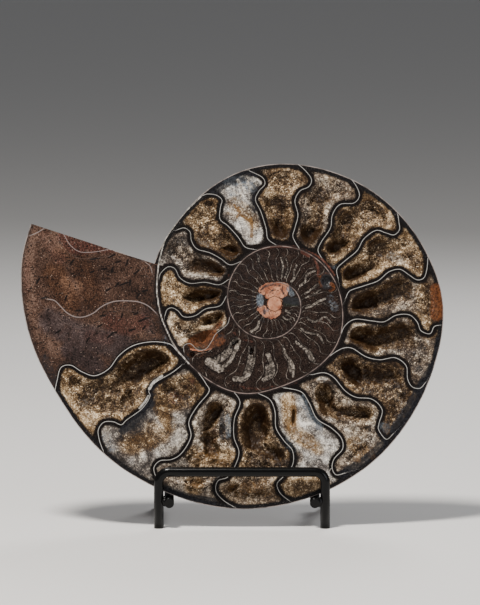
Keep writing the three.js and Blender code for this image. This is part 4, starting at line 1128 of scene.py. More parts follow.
def crystal_relief(points, number):
    """Height of a bed of pointed crystals above its bowl, and a number for the crystal at each point."""
    grid = points / CRYSTAL_SIZE
    corner = np.floor(grid)
    best = np.full(len(points), -1e3)
    crystal = np.zeros(len(points))
    for di in (-1, 0, 1):
        for dj in (-1, 0, 1):
            i, j = corner[:, 0] + di, corner[:, 1] + dj
            draw = [scatter(i, j, number + 10 * k) for k in range(6)]
            stray = CRYSTAL_STRAY * np.stack(draw[:2], 1)
            away = points - CRYSTAL_SIZE * (np.stack([i + CRYSTAL_INSET, j + CRYSTAL_INSET], 1) + stray)
            lean = CRYSTAL_LEAN * np.stack([draw[2] - 0.5, draw[3] - 0.5], 1)
            top = CRYSTAL_HEIGHT * draw[4] ** 1.5 + (away * lean).sum(1)
            slope = 0.0
            for facet in range(3):
                angle = 2 * math.pi * (draw[5] + facet / 3)
                slope = np.maximum(slope, away[:, 0] * np.cos(angle) + away[:, 1] * np.sin(angle))
            height = top - (CRYSTAL_SLOPE + SLOPE_SPREAD * draw[3]) * slope
            higher = height > best
            best = np.where(higher, height, best)
            crystal = np.where(higher, draw[2], crystal)
    return best, crystal


def crystal_crust(number, material):
    """The crust of crystals in one hollow."""
    rim = hollow_rims[number]
    low, high = rim.min(0) - 1, rim.max(0) + 1
    cells = np.ceil((high - low) / CRUST_STEP).astype(int)
    i, j = np.meshgrid(np.arange(cells[0] + 1), np.arange(cells[1] + 1), indexing="ij")
    points = low + CRUST_STEP * np.stack([i.ravel(), j.ravel()], 1)
    stray = np.stack([scatter(i.ravel(), j.ravel(), seed) - 0.5 for seed in (1, 2)], 1)
    points += CRUST_JITTER * CRUST_STEP * stray
    from_rim, _ = rim_distance(points, rim)
    bowl = crust_depth(points, number, from_rim)
    relief, crystal = crystal_relief(points, number)
    hollow = hollow_share(points + 0.9 * wander_at(points, 2.6, 5, 8), number)
    grown = bowl - relief * (RELIEF - RELIEF_LOST * smoothstep(hollow, 0.3, 0.9)) + RELIEF_SUNK
    depth = np.clip(grown, CRUST_BEHIND_FACE, pocket_depth(points, from_rim) - CRUST_ABOVE_FLOOR)
    columns = cells[1] + 1
    i, j = np.meshgrid(np.arange(cells[0]), np.arange(cells[1]), indexing="ij")
    a = (i * columns + j).ravel()
    b, c, d = a + columns, a + columns + 1, a + 1
    flip = np.abs(depth[a] - depth[c]) > np.abs(depth[b] - depth[d])
    first = np.where(flip[:, None], np.stack([a, b, d], 1), np.stack([a, b, c], 1))
    second = np.where(flip[:, None], np.stack([b, c, d], 1), np.stack([a, c, d], 1))
    triangles = np.vstack([first, second])
    triangles = triangles[(from_rim[triangles] > -CRUST_UNDER_RIM).all(1)]
    used, renumbered = np.unique(triangles, return_inverse=True)
    points, depth = points[used], depth[used]
    fields = {"depth": depth, "hollow": hollow[used], "crystal": crystal[used]}
    pattern = face_fields(points)
    for name in ("warmth", "light", "fill", *(stain.lower() for stain in STAINS)):
        fields[name] = pattern[name]
    triangles = renumbered.reshape(-1, 3)
    return piece(f"crystal_crust_{number:02d}", on_face(points, depth), triangles, [material], fields, False)


# The stand's rods
ROD_SIDES = 28
BEND_STEPS = 14
GROUND_END = 0.9        # the flat of a rod's end, as a share of its width


def rod_route(corners, bend):
    """Points along a bent rod's middle line, with round bends, and the rod's way at each."""
    corners = [np.array(corner, float) for corner in corners]
    places, ways = [corners[0]], []
    way = corners[1] - corners[0]
    ways.append(way / np.linalg.norm(way))
    for before, corner, after in zip(corners, corners[1:], corners[2:]):
        into, out = corner - before, after - corner
        into, out = into / np.linalg.norm(into), out / np.linalg.norm(out)
        swing = math.acos(float(np.clip(into @ out, -1, 1)))
        side = out - into * (out @ into)
        side /= np.linalg.norm(side)
        start = corner - into * bend * math.tan(swing / 2)
        for angle in np.linspace(0, swing, BEND_STEPS):
            places.append(start + into * bend * math.sin(angle) + side * bend * (1 - math.cos(angle)))
            ways.append(into * math.cos(angle) + side * math.sin(angle))
    places.append(corners[-1])
    ways.append(out if len(corners) > 2 else ways[0])
    return np.array(places), np.array(ways)


def rod_mesh(corners, bend, stands):
    """Vertices and triangles of a round rod. One that stands has its feet cut level with the floor."""
    places, ways = rod_route(corners, bend)
    across = np.cross(ways[0], [0, 1, 0.013])
    rings, previous = [], across / np.linalg.norm(across)
    angles = np.linspace(0, 2 * math.pi, ROD_SIDES, endpoint=False)
    for place, way in zip(places, ways):
        previous = previous - way * (previous @ way)
        previous /= np.linalg.norm(previous)
        other = np.cross(way, previous)
        rings.append(place + ROD_RADIUS * (np.cos(angles)[:, None] * previous + np.sin(angles)[:, None] * other))
    rings = np.array(rings)
    if stands:
        for end in (0, -1):
            rings[end] -= ways[end] * (rings[end][:, 2:] / ways[end][2])
    vertices, triangles = list(rings.reshape(-1, 3)), []
    for ring in range(len(rings) - 1):
        for k in range(ROD_SIDES):
            a, b = ring * ROD_SIDES + k, ring * ROD_SIDES + (k + 1) % ROD_SIDES
            triangles += [(a, b, b + ROD_SIDES), (a, b + ROD_SIDES, a + ROD_SIDES)]
    for end, facing in ((0, -1), (len(rings) - 1, 1)):
        base, centre = end * ROD_SIDES, len(vertices)
        ring = rings[end]
        middle = ring.mean(0)
        inner = middle + (ring - middle) * GROUND_END
        vertices += list(inner) + [middle]
        for k in range(ROD_SIDES):
            n = (k + 1) % ROD_SIDES
            quad = [(base + k, centre + k, centre + n), (base + k, centre + n, base + n),
                    (centre + k, centre + ROD_SIDES, centre + n)]
            triangles += [tri if facing < 0 else tri[::-1] for tri in quad]
    return np.array(vertices), np.array(triangles)


WELD_LENGTH, WELD_WIDTH, WELD_HEIGHT = 2.3, 1.5, 2.6


def weld_bead(middle, seed):
    """A lumpy bead of weld, as vertices and triangles."""
    rows, columns = 12, 18
    around = np.linspace(0, 2 * math.pi, columns, endpoint=False)
    v, u = np.meshgrid(np.linspace(0, math.pi, rows), around, indexing="ij")
    ball = np.stack([np.sin(v) * np.cos(u), np.sin(v) * np.sin(u), np.cos(v)], -1).reshape(-1, 3)
    lumps = 1 + 0.1 * np.sin(8 * ball[:, 2] + seed) + 0.06 * np.sin(7 * ball[:, 0] + 2 * seed)
    vertices = np.array(middle) + ball * lumps[:, None] * [WELD_WIDTH, WELD_LENGTH, WELD_HEIGHT]
    triangles = []
    for row in range(rows - 1):
        for k in range(columns):
            a, b = row * columns + k, row * columns + (k + 1) % columns
            triangles += [(a, a + columns, b + columns), (a, b + columns, b)]
    return vertices, np.array(triangles)


def together(parts):
    """Several meshes as one: vertices and triangles."""
    vertices, triangles, first = [], [], 0
    for part_vertices, part_triangles in parts:
        vertices.append(part_vertices)
        triangles.append(part_triangles + first)
        first += len(part_vertices)
    return np.vstack(vertices), np.vstack(triangles)


def stand_place(x, y, z):
    """A place given from the middle of the front hoop's feet."""
    return (STAND_X + x, LEG_Y + y, z)


def hoop(name, material, half, foot, bar, height, bend, weld_depth, weld_height, weld_seed):
    """A hoop of rod on two feet: feet and bar at their depths, and a bead of weld at each arm."""
    corners = [stand_place(-half, foot, 0), stand_place(-half, bar, height),
               stand_place(half, bar, height), stand_place(half, foot, 0)]
    parts = [rod_mesh(corners, bend, True)]
    for side in (-1, 1):
        place = stand_place(side * (half - ARM_INSET / 2), weld_depth, weld_height)
        parts.append(weld_bead(place, weld_seed + side))
    return piece(name, *together(parts), [material], smooth=True)


def front_hoop(material):
    return hoop("front_hoop_rod", material, HOOP_HALF_SPAN, 0, 0, FRONT_BAR_HEIGHT, FRONT_BEND,
                weld_depth=0.25, weld_height=ARM_HEIGHT + 0.4, weld_seed=1)


def back_hoop(material):
    leg_depth = BACK_FOOT_DEPTH + (BACK_BAR_DEPTH - BACK_FOOT_DEPTH) * ARM_HEIGHT / BACK_BAR_HEIGHT
    return hoop("back_hoop_rod", material, HOOP_HALF_SPAN + BACK_SPLAY, BACK_FOOT_DEPTH, BACK_BAR_DEPTH,
                BACK_BAR_HEIGHT, BACK_BEND,
                weld_depth=leg_depth, weld_height=ARM_HEIGHT + 0.3, weld_seed=3)


def stand_arm(name, side, material):
    front = side * (HOOP_HALF_SPAN - ARM_INSET)
    back = side * (HOOP_HALF_SPAN + BACK_SPLAY - ARM_INSET)
    corners = [stand_place(front, ARM_FRONT, ARM_HEIGHT), stand_place(back, BACK_FOOT_DEPTH - 1, ARM_HEIGHT)]
    return piece(name, *rod_mesh(corners, 1, False), [material], smooth=True)


# Materials. A Nodes object adds nodes to a tree, so that a pattern reads as a formula.
class Nodes:
    def __init__(self, tree):
        self.tree = tree
        self.fields = {}

    def add(self, kind, settings=None, **sockets):
        """A new node with its settings, and what is given to its sockets: a value or another node."""
        node = self.tree.nodes.new(kind)
        for key, value in (settings or {}).items():
            setattr(node, key, value)
        for key, value in sockets.items():
            self.put(node.inputs[key.replace("_", " ")], value)
        return node

    def put(self, socket, value):
        if isinstance(value, bpy.types.NodeSocket):
            self.tree.links.new(value, socket)
        elif isinstance(value, tuple) and len(value) == 3 and socket.type == "RGBA":
            socket.default_value = (*value, 1)
        else:
            socket.default_value = value

    def math(self, operation, a, b=0.0):
        node = self.add("ShaderNodeMath", {"operation": operation})
        self.put(node.inputs[0], a)
        self.put(node.inputs[1], b)
        return node.outputs[0]

    def plus(self, a, b): return self.math("ADD", a, b)
    def minus(self, a, b): return self.math("SUBTRACT", a, b)
    def times(self, a, b): return self.math("MULTIPLY", a, b)
    def most(self, a, b): return self.math("MAXIMUM", a, b)
    def least(self, a, b): return self.math("MINIMUM", a, b)
    def size(self, a): return self.math("ABSOLUTE", a)

    def step(self, value, low, high, start=0.0, end=1.0):
        """Goes smoothly from start at low to end at high."""
        node = self.add("ShaderNodeMapRange", {"interpolation_type": "SMOOTHSTEP"}, Value=value,
                        From_Min=low, From_Max=high, To_Min=start, To_Max=end)
        return node.outputs["Result"]

    def fade(self, value, low, high):
        """Falls smoothly from 1 at low to 0 at high."""
        return self.step(value, low, high, 1, 0)

    def field(self, name):
        if name not in self.fields:
            self.fields[name] = self.add("ShaderNodeAttribute", {"attribute_name": name}).outputs["Fac"]
        return self.fields[name]

    def mix(self, share, a, b):
        """Colour a, and as much of colour b over it as a share from 0 to 1."""
        node = self.add("ShaderNodeMix", {"data_type": "RGBA"})
        self.put(node.inputs[0], share)
        self.put(node.inputs[6], a)
        self.put(node.inputs[7], b)
        return node.outputs[2]

    def coat(self, colour, over, mask, strength):
        """A colour with another over it, as far as a mask and a strength say."""
        return self.mix(self.times(mask, strength), colour, over)

    def ramp(self, value, stops):
        node = self.add("ShaderNodeValToRGB")
        stops = list(stops)
        while len(node.color_ramp.elements) < len(stops):
            node.color_ramp.elements.new(0.5)
        for element, (place, colour) in zip(node.color_ramp.elements, stops):
            element.position, element.color = place, (*colour, 1)
        self.put(node.inputs[0], value)
        return node.outputs[0]

    def millimetres(self):
        """Object coordinates in millimetres."""
        place = self.add("ShaderNodeTexCoord").outputs["Object"]
        return self.add("ShaderNodeVectorMath", {"operation": "SCALE"}, Vector=place, Scale=1000).outputs[0]

    def noise(self, place, size, detail, rough=0.55, warp=0.0):
        node = self.add("ShaderNodeTexNoise", Vector=place, Scale=1 / size, Detail=detail, Roughness=rough,
                        Distortion=warp)
        return node.outputs["Fac"]

    def ragged(self, amount, place, *pattern):
        """Noise that strays from nought to both sides, by half of an amount."""
        return self.times(self.minus(self.noise(place, *pattern), 0.5), amount)

    def stretched(self, place, factors):
        """A place scaled by a factor along each axis."""
        node = self.add("ShaderNodeVectorMath", {"operation": "MULTIPLY"}, Vector=place)
        node.inputs[1].default_value = factors
        return node.outputs[0]

    def cells(self, place, size):
        """Distance from the middles of scattered cells."""
        return self.add("ShaderNodeTexVoronoi", Vector=place, Scale=1 / size).outputs["Distance"]

    def bump(self, height, distance, strength):
        node = self.add("ShaderNodeBump", Distance=distance * MM, Strength=strength, Height=height)
        return node.outputs["Normal"]


def node_group(name, inputs, outputs):
    """An empty shader node group with named sockets: its tree, input sockets and output node."""
    tree = bpy.data.node_groups.new(name, "ShaderNodeTree")
    for label, kind, value in inputs:
        socket = tree.interface.new_socket(label, in_out="INPUT", socket_type=kind)
        socket.default_value = value
    for label, kind in outputs:
        tree.interface.new_socket(label, in_out="OUTPUT", socket_type=kind)
    given = tree.nodes.new("NodeGroupInput")
    made = tree.nodes.new("NodeGroupOutput")
    return tree, given.outputs, made.inputs


def use_group(nodes, tree, **sockets):
    return nodes.add("ShaderNodeGroup", {"node_tree": tree}, **sockets).outputs


def shader(name):
    """A new material: its nodes and its Principled shader."""
    material = bpy.data.materials.new(name)
    material.use_nodes = True
    nodes = Nodes(material.node_tree)
    return material, nodes, material.node_tree.nodes["Principled BSDF"]


def lay_on(nodes, principled, colour, roughness, normal, specular=0.5):
    """Gives a material its finish: what changes over the surface, and how strongly it mirrors."""
    nodes.put(principled.inputs["Base Color"], colour)
    nodes.put(principled.inputs["Roughness"], roughness)
    nodes.put(principled.inputs["Normal"], normal)
    principled.inputs["Specular IOR Level"].default_value = specular


def calcite_group():
    """Sugary calcite: grains of many sizes between a shade and a light colour, with painted glints on some facets,
    and their height.
    """
    tree, given, made = node_group(
        "calcite_grain",
        [("Warmth", "NodeSocketFloat", 0.5), ("Light", "NodeSocketFloat", 0.5), ("Grain", "NodeSocketFloat", 1.0)],
        [("Color", "NodeSocketColor"), ("Height", "NodeSocketFloat")],
    )
    nodes = Nodes(tree)
    place = nodes.millimetres()
    cloud = nodes.noise(place, 9.0, 3, 0.6, 1.0)
    clump = nodes.noise(place, 3.2, 3, 0.5, 0.6)
    grain = nodes.noise(place, 0.75, 3, 0.7)
    facet = nodes.add("ShaderNodeTexVoronoi", Vector=place, Scale=1 / 0.43).outputs["Color"]
    facet_value = nodes.add("ShaderNodeRGBToBW", Color=facet).outputs["Val"]
    tone = nodes.plus(nodes.times(nodes.minus(cloud, 0.5), 1.45), nodes.times(nodes.minus(clump, 0.5), 0.9))
    tone = nodes.plus(tone, nodes.times(nodes.minus(grain, 0.5), 0.5))
    tone = nodes.plus(tone, nodes.times(nodes.minus(facet_value, 0.5), nodes.times(given["Grain"], 0.7)))
    tone = nodes.plus(tone, given["Light"])
    golden, grey = (nodes.ramp(tone, zip((0.0, 0.28, 0.5, 0.75, 1.0), colours)) for colours in (
        [(0.01, 0.0042, 0.0016), (0.047, 0.0255, 0.011), (0.146, 0.09, 0.044), (0.385, 0.268, 0.155),
         (0.84, 0.66, 0.44)],
        [(0.015, 0.0125, 0.0115), (0.052, 0.044, 0.04), (0.16, 0.142, 0.13), (0.42, 0.4, 0.37),
         (0.85, 0.8, 0.72)],
    ))
    warm = nodes.plus(given["Warmth"], nodes.ragged(0.5, place, 5.0, 2, 0.5))
    colour = nodes.mix(nodes.step(warm, 0.15, 0.85), grey, golden)
    # Painted glints: pale spots on the brightest facets, in patches, where the grain is light.
    painted_glint = nodes.times(nodes.step(facet_value, 0.72, 0.8), nodes.step(tone, 0.42, 0.75, 0.05, 0.8))
    painted_glint = nodes.times(painted_glint, nodes.step(nodes.noise(place, 3.5, 3, 0.6), 0.45, 0.65, 0.2, 1))
    colour = nodes.coat(colour, (0.95, 0.8, 0.6), painted_glint, given["Grain"])
    tree.links.new(colour, made["Color"])
    tree.links.new(nodes.plus(grain, nodes.times(facet_value, 0.4)), made["Height"])
    return tree


def stain_group():
    """Stains over a colour: shade, blue-grey, white, ochre, red and rust, each with a broken, soft edge. Shade is
    mostly dark stone, and painted shade where its strokes lie in pits and hollows.
    """
    tree, given, made = node_group(
        "mineral_stains",
        [("Color", "NodeSocketColor", (0.5, 0.5, 0.5, 1))] + [(stain, "NodeSocketFloat", 0.0) for stain in STAINS],
        [("Color", "NodeSocketColor")],
    )
    nodes = Nodes(tree)
    place = nodes.millimetres()
    broken = nodes.ragged(1.7, place, 1.3, 5, 0.7)
    fine = nodes.step(nodes.noise(place, 1.0, 4, 0.8), 0.34, 0.66)
    fleck = nodes.step(nodes.noise(place, 1.5, 4, 0.8), 0.4, 0.62)

    def spread(mask):
        """A mask whose edge and strength are broken up by the stone's grain."""
        return nodes.step(nodes.plus(mask, nodes.times(broken, nodes.step(mask, 0.0, 0.3))), 0.2, 0.95)

    colours = {
        "Shade": nodes.mix(fine, (0.003, 0.003, 0.0038), (0.018, 0.018, 0.0215)),
        "Blue": nodes.mix(fine, (0.03, 0.037, 0.048), (0.2, 0.235, 0.27)),
        "White": nodes.mix(fleck, (0.05, 0.04, 0.032), (0.66, 0.59, 0.5)),
        "Ochre": nodes.mix(fine, (0.04, 0.017, 0.005), (0.22, 0.115, 0.036)),
        "Red": nodes.mix(fine, (0.055, 0.018, 0.012), (0.16, 0.06, 0.042)),
        "Rust": nodes.mix(fine, (0.02, 0.006, 0.003), (0.17, 0.06, 0.022)),
    }
    colour = given["Color"]
    for stain in STAINS:
        colour = nodes.coat(colour, colours[stain], spread(given[stain]), 0.88)
    tree.links.new(colour, made["Color"])
    return tree


DARK_BAND = (0.006, 0.0045, 0.004)
PALE_LINE = (0.4, 0.385, 0.365)
SEDIMENT_PATCHES = ("Pale", "Mauve", "Brown", "Red", "Dash", "Pen")


def sediment_group():
    """The red-brown to mauve sediment in the body chamber, with its specks, cracks and pale lines."""
    tree, given, made = node_group(
        "chamber_sediment",
        [(patch, "NodeSocketFloat", 0.0) for patch in SEDIMENT_PATCHES],
        [("Color", "NodeSocketColor"), ("Fine", "NodeSocketFloat")],
    )
    nodes = Nodes(tree)
    place = nodes.millimetres()
    broad = nodes.noise(place, 15, 4, 0.62)
    clump = nodes.noise(place, 3.0, 3, 0.6)
    fine = nodes.noise(place, 0.62, 4, 0.8)
    tone = nodes.plus(nodes.plus(nodes.times(broad, 0.3), nodes.times(clump, 0.1)), nodes.times(fine, 0.6))

    def patch(name, clumping, low, high):
        """Where a patch drawn on the stone shows, with its edge broken up by the clumps."""
        return nodes.step(nodes.plus(given[name], nodes.times(clump, clumping)), low, high)

    light = nodes.plus(tone, nodes.times(patch("Pale", 0.7, 0.3, 1.5), 0.07))
    warm, mauve, brown = (nodes.ramp(light, zip((0.41, 0.46, 0.54, 0.64), colours)) for colours in (
        [(0.002, 0.001, 0.001), (0.026, 0.0125, 0.008), (0.06, 0.031, 0.021), (0.18, 0.11, 0.08)],
        [(0.002, 0.0015, 0.0015), (0.018, 0.0105, 0.01), (0.037, 0.024, 0.0225), (0.11, 0.08, 0.077)],
        [(0.002, 0.001, 0.0005), (0.018, 0.0065, 0.003), (0.048, 0.02, 0.0095), (0.17, 0.088, 0.05)],
    ))
    colour = nodes.mix(patch("Mauve", 0.8, 0.4, 1.3), warm, mauve)
    colour = nodes.mix(patch("Brown", 0.8, 0.4, 1.5), colour, brown)
    reddish = nodes.mix(nodes.step(fine, 0.4, 0.64), (0.012, 0.004, 0.003), (0.11, 0.036, 0.026))
    colour = nodes.coat(colour, reddish, patch("Red", 0.3, 0.2, 0.9), 0.7)
    marks = [nodes.cells(nodes.stretched(place, way), 1.15) for way in ((0.4, 1, 1.2), (1.2, 1, 0.45))]
    here_and_there = nodes.step(nodes.noise(place, 3.4, 2), 0.4, 0.6, 0.25, 1)
    cracked = nodes.times(nodes.fade(nodes.least(*marks), 0.21, 0.31), here_and_there)
    colour = nodes.coat(colour, (0.002, 0.0015, 0.0015), cracked, 0.95)
    pores = nodes.fade(nodes.cells(place, 1.2), 0.2, 0.3)
    sparse = nodes.step(nodes.noise(place, 2.2, 2), 0.46, 0.54)
    colour = nodes.coat(colour, (0.006, 0.004, 0.004), nodes.times(pores, sparse), 0.9)
    glints = nodes.fade(nodes.cells(place, 1.4), 0.12, 0.21)
    glints = nodes.times(glints, nodes.step(nodes.noise(place, 3.1, 2), 0.48, 0.58))
    colour = nodes.coat(colour, (0.34, 0.25, 0.2), glints, 0.6)
    colour = nodes.coat(colour, (0.003, 0.002, 0.002), nodes.fade(given["Dash"], 0.3, 0.62), 0.95)
    pen = nodes.size(given["Pen"])
    colour = nodes.coat(colour, (0.34, 0.29, 0.28), nodes.fade(pen, 0.5, 1.5), 0.5)
    tree.links.new(colour, made["Color"])
    tree.links.new(fine, made["Fine"])
    return tree


def sediment_of(nodes, tree):
    """The sediment's colour and its finest grain, with the patches drawn on the stone."""
    made = use_group(nodes, tree, **{patch: nodes.field(patch.lower()) for patch in SEDIMENT_PATCHES})
    return made["Color"], made["Fine"]


def inner_whorl_colour(nodes, place):
    """The dark inner whorls, with the pale septa that cross them and the pink middle."""
    fine = nodes.step(nodes.noise(place, 0.55, 4, 0.75), 0.34, 0.66)
    clump = nodes.noise(place, 3.2, 3, 0.6)
    colour = nodes.mix(fine, (0.003, 0.002, 0.0017), (0.026, 0.0165, 0.013))
    paler = nodes.mix(fine, (0.016, 0.009, 0.0065), (0.066, 0.042, 0.032))
    colour = nodes.mix(nodes.step(clump, 0.45, 0.7, 0, 0.5), colour, paler)
    wobble = nodes.ragged(1.1, place, 2.0, 4, 0.6)
    line = nodes.size(nodes.plus(nodes.field("inner_septum"), wobble))
    strength = nodes.step(nodes.noise(place, 2.6, 3, 0.6), 0.42, 0.62, 0.15, 0.9)
    colour = nodes.coat(colour, (0.009, 0.007, 0.0065), nodes.fade(line, 0.3, 0.7), 0.5)
    colour = nodes.coat(colour, (0.27, 0.23, 0.195), nodes.fade(line, 0.02, 0.18), strength)
    grains = nodes.fade(nodes.cells(place, 0.9), 0.14, 0.24)
    grains = nodes.times(grains, nodes.step(nodes.noise(place, 2.6, 3), 0.5, 0.6))
    colour = nodes.coat(colour, (0.3, 0.26, 0.22), grains, 0.5)
    silver = nodes.plus(nodes.field("silver"), nodes.ragged(3.6, place, 1.2, 5, 0.8))
    colour = nodes.coat(colour, DARK_BAND, nodes.step(nodes.field("silver"), 0.0, 0.25), 0.8)
    sugar = nodes.step(nodes.noise(place, 0.9, 3, 0.8), 0.36, 0.62)
    sugary = nodes.mix(sugar, (0.03, 0.024, 0.02), (0.39, 0.335, 0.285))
    silver = nodes.times(silver, nodes.step(nodes.field("silver"), 0.05, 0.65))
    patchy = nodes.step(nodes.noise(place, 2.6, 4, 0.7), 0.38, 0.6, 0.3, 1)
    colour = nodes.coat(colour, sugary, nodes.step(silver, 0.1, 1.1), patchy)
    glaze = nodes.mix(fine, (0.008, 0.01, 0.009), (0.04, 0.05, 0.04))
    colour = nodes.coat(colour, glaze, nodes.field("glaze"), 0.8)
    middle = nodes.field("coil_middle")
    salmon = nodes.mix(nodes.step(clump, 0.35, 0.65), (0.23, 0.08, 0.044), (0.5, 0.24, 0.145))
    blotch = nodes.step(nodes.noise(place, 1.6, 4, 0.75), 0.52, 0.6)
    blotch = nodes.times(blotch, nodes.step(middle, 3.2, 4.6, 0.25, 0.85))
    salmon = nodes.mix(blotch, salmon, (0.075, 0.03, 0.026))
    broken = nodes.ragged(2.2, place, 1.3, 5, 0.75)
    mask = nodes.plus(nodes.field("salmon"), broken)
    halo = nodes.times(nodes.step(mask, 0.0, 0.3), nodes.fade(middle, 9.0, 13.0))
    colour = nodes.coat(colour, (0.01, 0.006, 0.005), halo, 0.7)
    colour = nodes.mix(nodes.step(mask, 0.35, 0.6), colour, salmon)
    joint = nodes.times(nodes.fade(nodes.field("dash"), 0.2, 0.45), nodes.fade(middle, 9.0, 11.0))
    return nodes.coat(colour, (0.012, 0.006, 0.005), joint, 0.85)


def stained(nodes, stains, colour, **held_back):
    """A colour with every stain of the pattern over it, some of them held back to a part of the face."""
    sockets = {stain: nodes.field(stain.lower()) for stain in STAINS}
    sockets.update(held_back)
    return use_group(nodes, stains, Color=colour, **sockets)["Color"]


def polished_face(calcite, stains, sediment_tree):
    """The cut face: sediment, the septa with their dark bands, the chambers' filling, the inner whorls."""
    material, nodes, principled = shader("polished_cut_face")
    place = nodes.millimetres()
    sediment, fine = sediment_of(nodes, sediment_tree)
    wander = nodes.ragged(0.3, place, 1.6, 3, 0.6)
    frayed = nodes.ragged(1.9, place, 1.4, 5, 0.75)
    septum = nodes.size(nodes.field("septum"))
    wall = nodes.size(nodes.field("wall"))
    rim = nodes.field("rim")
    fill = nodes.plus(nodes.field("fill"), nodes.plus(wander, frayed))

    grain = use_group(nodes, calcite, Warmth=nodes.field("warmth"), Light=nodes.field("light"), Grain=0.8)
    speckle = nodes.step(nodes.noise(place, 0.8, 4, 0.75), 0.55, 0.75)
    band = nodes.coat(DARK_BAND, (0.06, 0.05, 0.045), speckle, 0.5)
    near_rim = nodes.step(nodes.plus(rim, frayed), 1.4, 3.0, 0.75, 0)
    band = nodes.mix(near_rim, band, nodes.mix(speckle, (0.008, 0.0075, 0.008), (0.11, 0.098, 0.092)))
    body = nodes.field("sediment")
    bare = nodes.least(nodes.minus(body, 0.62), nodes.least(nodes.minus(wall, 1.1), nodes.minus(rim, 0.35)))
    colour = nodes.mix(nodes.step(fill, -0.5, 0.8), band, grain["Color"])
    shaded = nodes.mix(nodes.step(bare, 0.0, 2.2, 0.55, 0), sediment, (0.01, 0.008, 0.008))
    colour = nodes.mix(nodes.step(nodes.plus(bare, wander), -0.12, 0.2), colour, shaded)

    inner = inner_whorl_colour(nodes, place)
    zone = nodes.step(nodes.field("inner_whorls"), 0.3, 0.7)
    colour = nodes.mix(zone, colour, inner)
    red = nodes.times(nodes.field("red"), nodes.fade(body, 0.0, 1.0))
    white = nodes.times(nodes.field("white"), nodes.step(fill, 0.2, 1.2))
    colour = stained(nodes, stains, colour, Red=red, White=white)

    outside_middle = nodes.step(nodes.field("coil_middle"), 8.5, 10.5)
    near_wall = nodes.times(nodes.fade(wall, 0.8, 1.3), nodes.step(zone, 0, 1, 0.9, 0.5))
    colour = nodes.coat(colour, (0.013, 0.01, 0.0095), near_wall, outside_middle)
    thin = nodes.size(nodes.plus(nodes.field("wall"), nodes.times(wander, 0.5)))
    worn = nodes.step(nodes.noise(place, 4.0, 3), 0.35, 0.6, 0.2, 0.85)
    wall_line = nodes.times(nodes.fade(thin, 0.1, 0.32), worn)
    colour = nodes.coat(colour, (0.24, 0.185, 0.165), wall_line, outside_middle)
    septum_line = nodes.fade(nodes.plus(septum, nodes.times(wander, 0.3)), 0.04, 0.25)
    worn = nodes.step(nodes.noise(place, 3.0, 3), 0.3, 0.55, 0.72, 0.95)
    colour = nodes.coat(colour, PALE_LINE, septum_line, nodes.times(worn, nodes.field("line_light")))
    worn = nodes.step(nodes.noise(place, 7.0, 3), 0.35, 0.6, 0.3, 0.9)
    rim_line = nodes.times(nodes.fade(nodes.plus(rim, wander), 0.2, 0.5), worn)
    colour = nodes.mix(rim_line, colour, (0.31, 0.265, 0.245))
    stout = nodes.plus(nodes.field("stout"), nodes.times(wander, 0.6))
    blotch = nodes.step(nodes.noise(place, 1.6, 3, 0.7), 0.42, 0.6)
    stout_colour = nodes.mix(blotch, (0.16, 0.15, 0.135), (0.5, 0.47, 0.43))
    colour = nodes.coat(colour, stout_colour, nodes.fade(stout, 0.7, 1.15), 0.9)

    rough = nodes.plus(0.16, nodes.times(nodes.step(nodes.plus(bare, wander), 0.0, 0.4), nodes.times(fine, 0.4)))
    rough = nodes.plus(rough, nodes.times(nodes.step(fill, 0.0, 0.5), 0.16))
    rough = nodes.plus(rough, nodes.times(nodes.times(nodes.field("shade"), zone), 0.3))
    height = nodes.times(fine, nodes.step(bare, 0.0, 0.4))
    height = nodes.plus(height, nodes.times(grain["Height"], nodes.step(fill, 0.1, 0.5)))
    lay_on(nodes, principled, colour, rough, nodes.bump(height, 0.05, 0.5), 0.3)
    return material


def sawn_mouth(sediment_tree):
    """The matt sawn face across the mouth: sediment all through."""
    material, nodes, principled = shader("sawn_mouth")
    place = nodes.millimetres()
    sediment, fine = sediment_of(nodes, sediment_tree)
    saw_marks = nodes.noise(nodes.stretched(place, (0.15, 1.6, 0.15)), 1.0, 2)
    dust = nodes.times(nodes.step(nodes.noise(place, 1.8, 4, 0.7), 0.45, 0.7), 0.35)
    dusty = nodes.mix(dust, sediment, (0.16, 0.11, 0.09))
    rough = nodes.plus(0.62, nodes.times(fine, 0.25))
    lay_on(nodes, principled, dusty, rough, nodes.bump(nodes.plus(fine, saw_marks), 0.12, 0.6), 0.3)
    return material


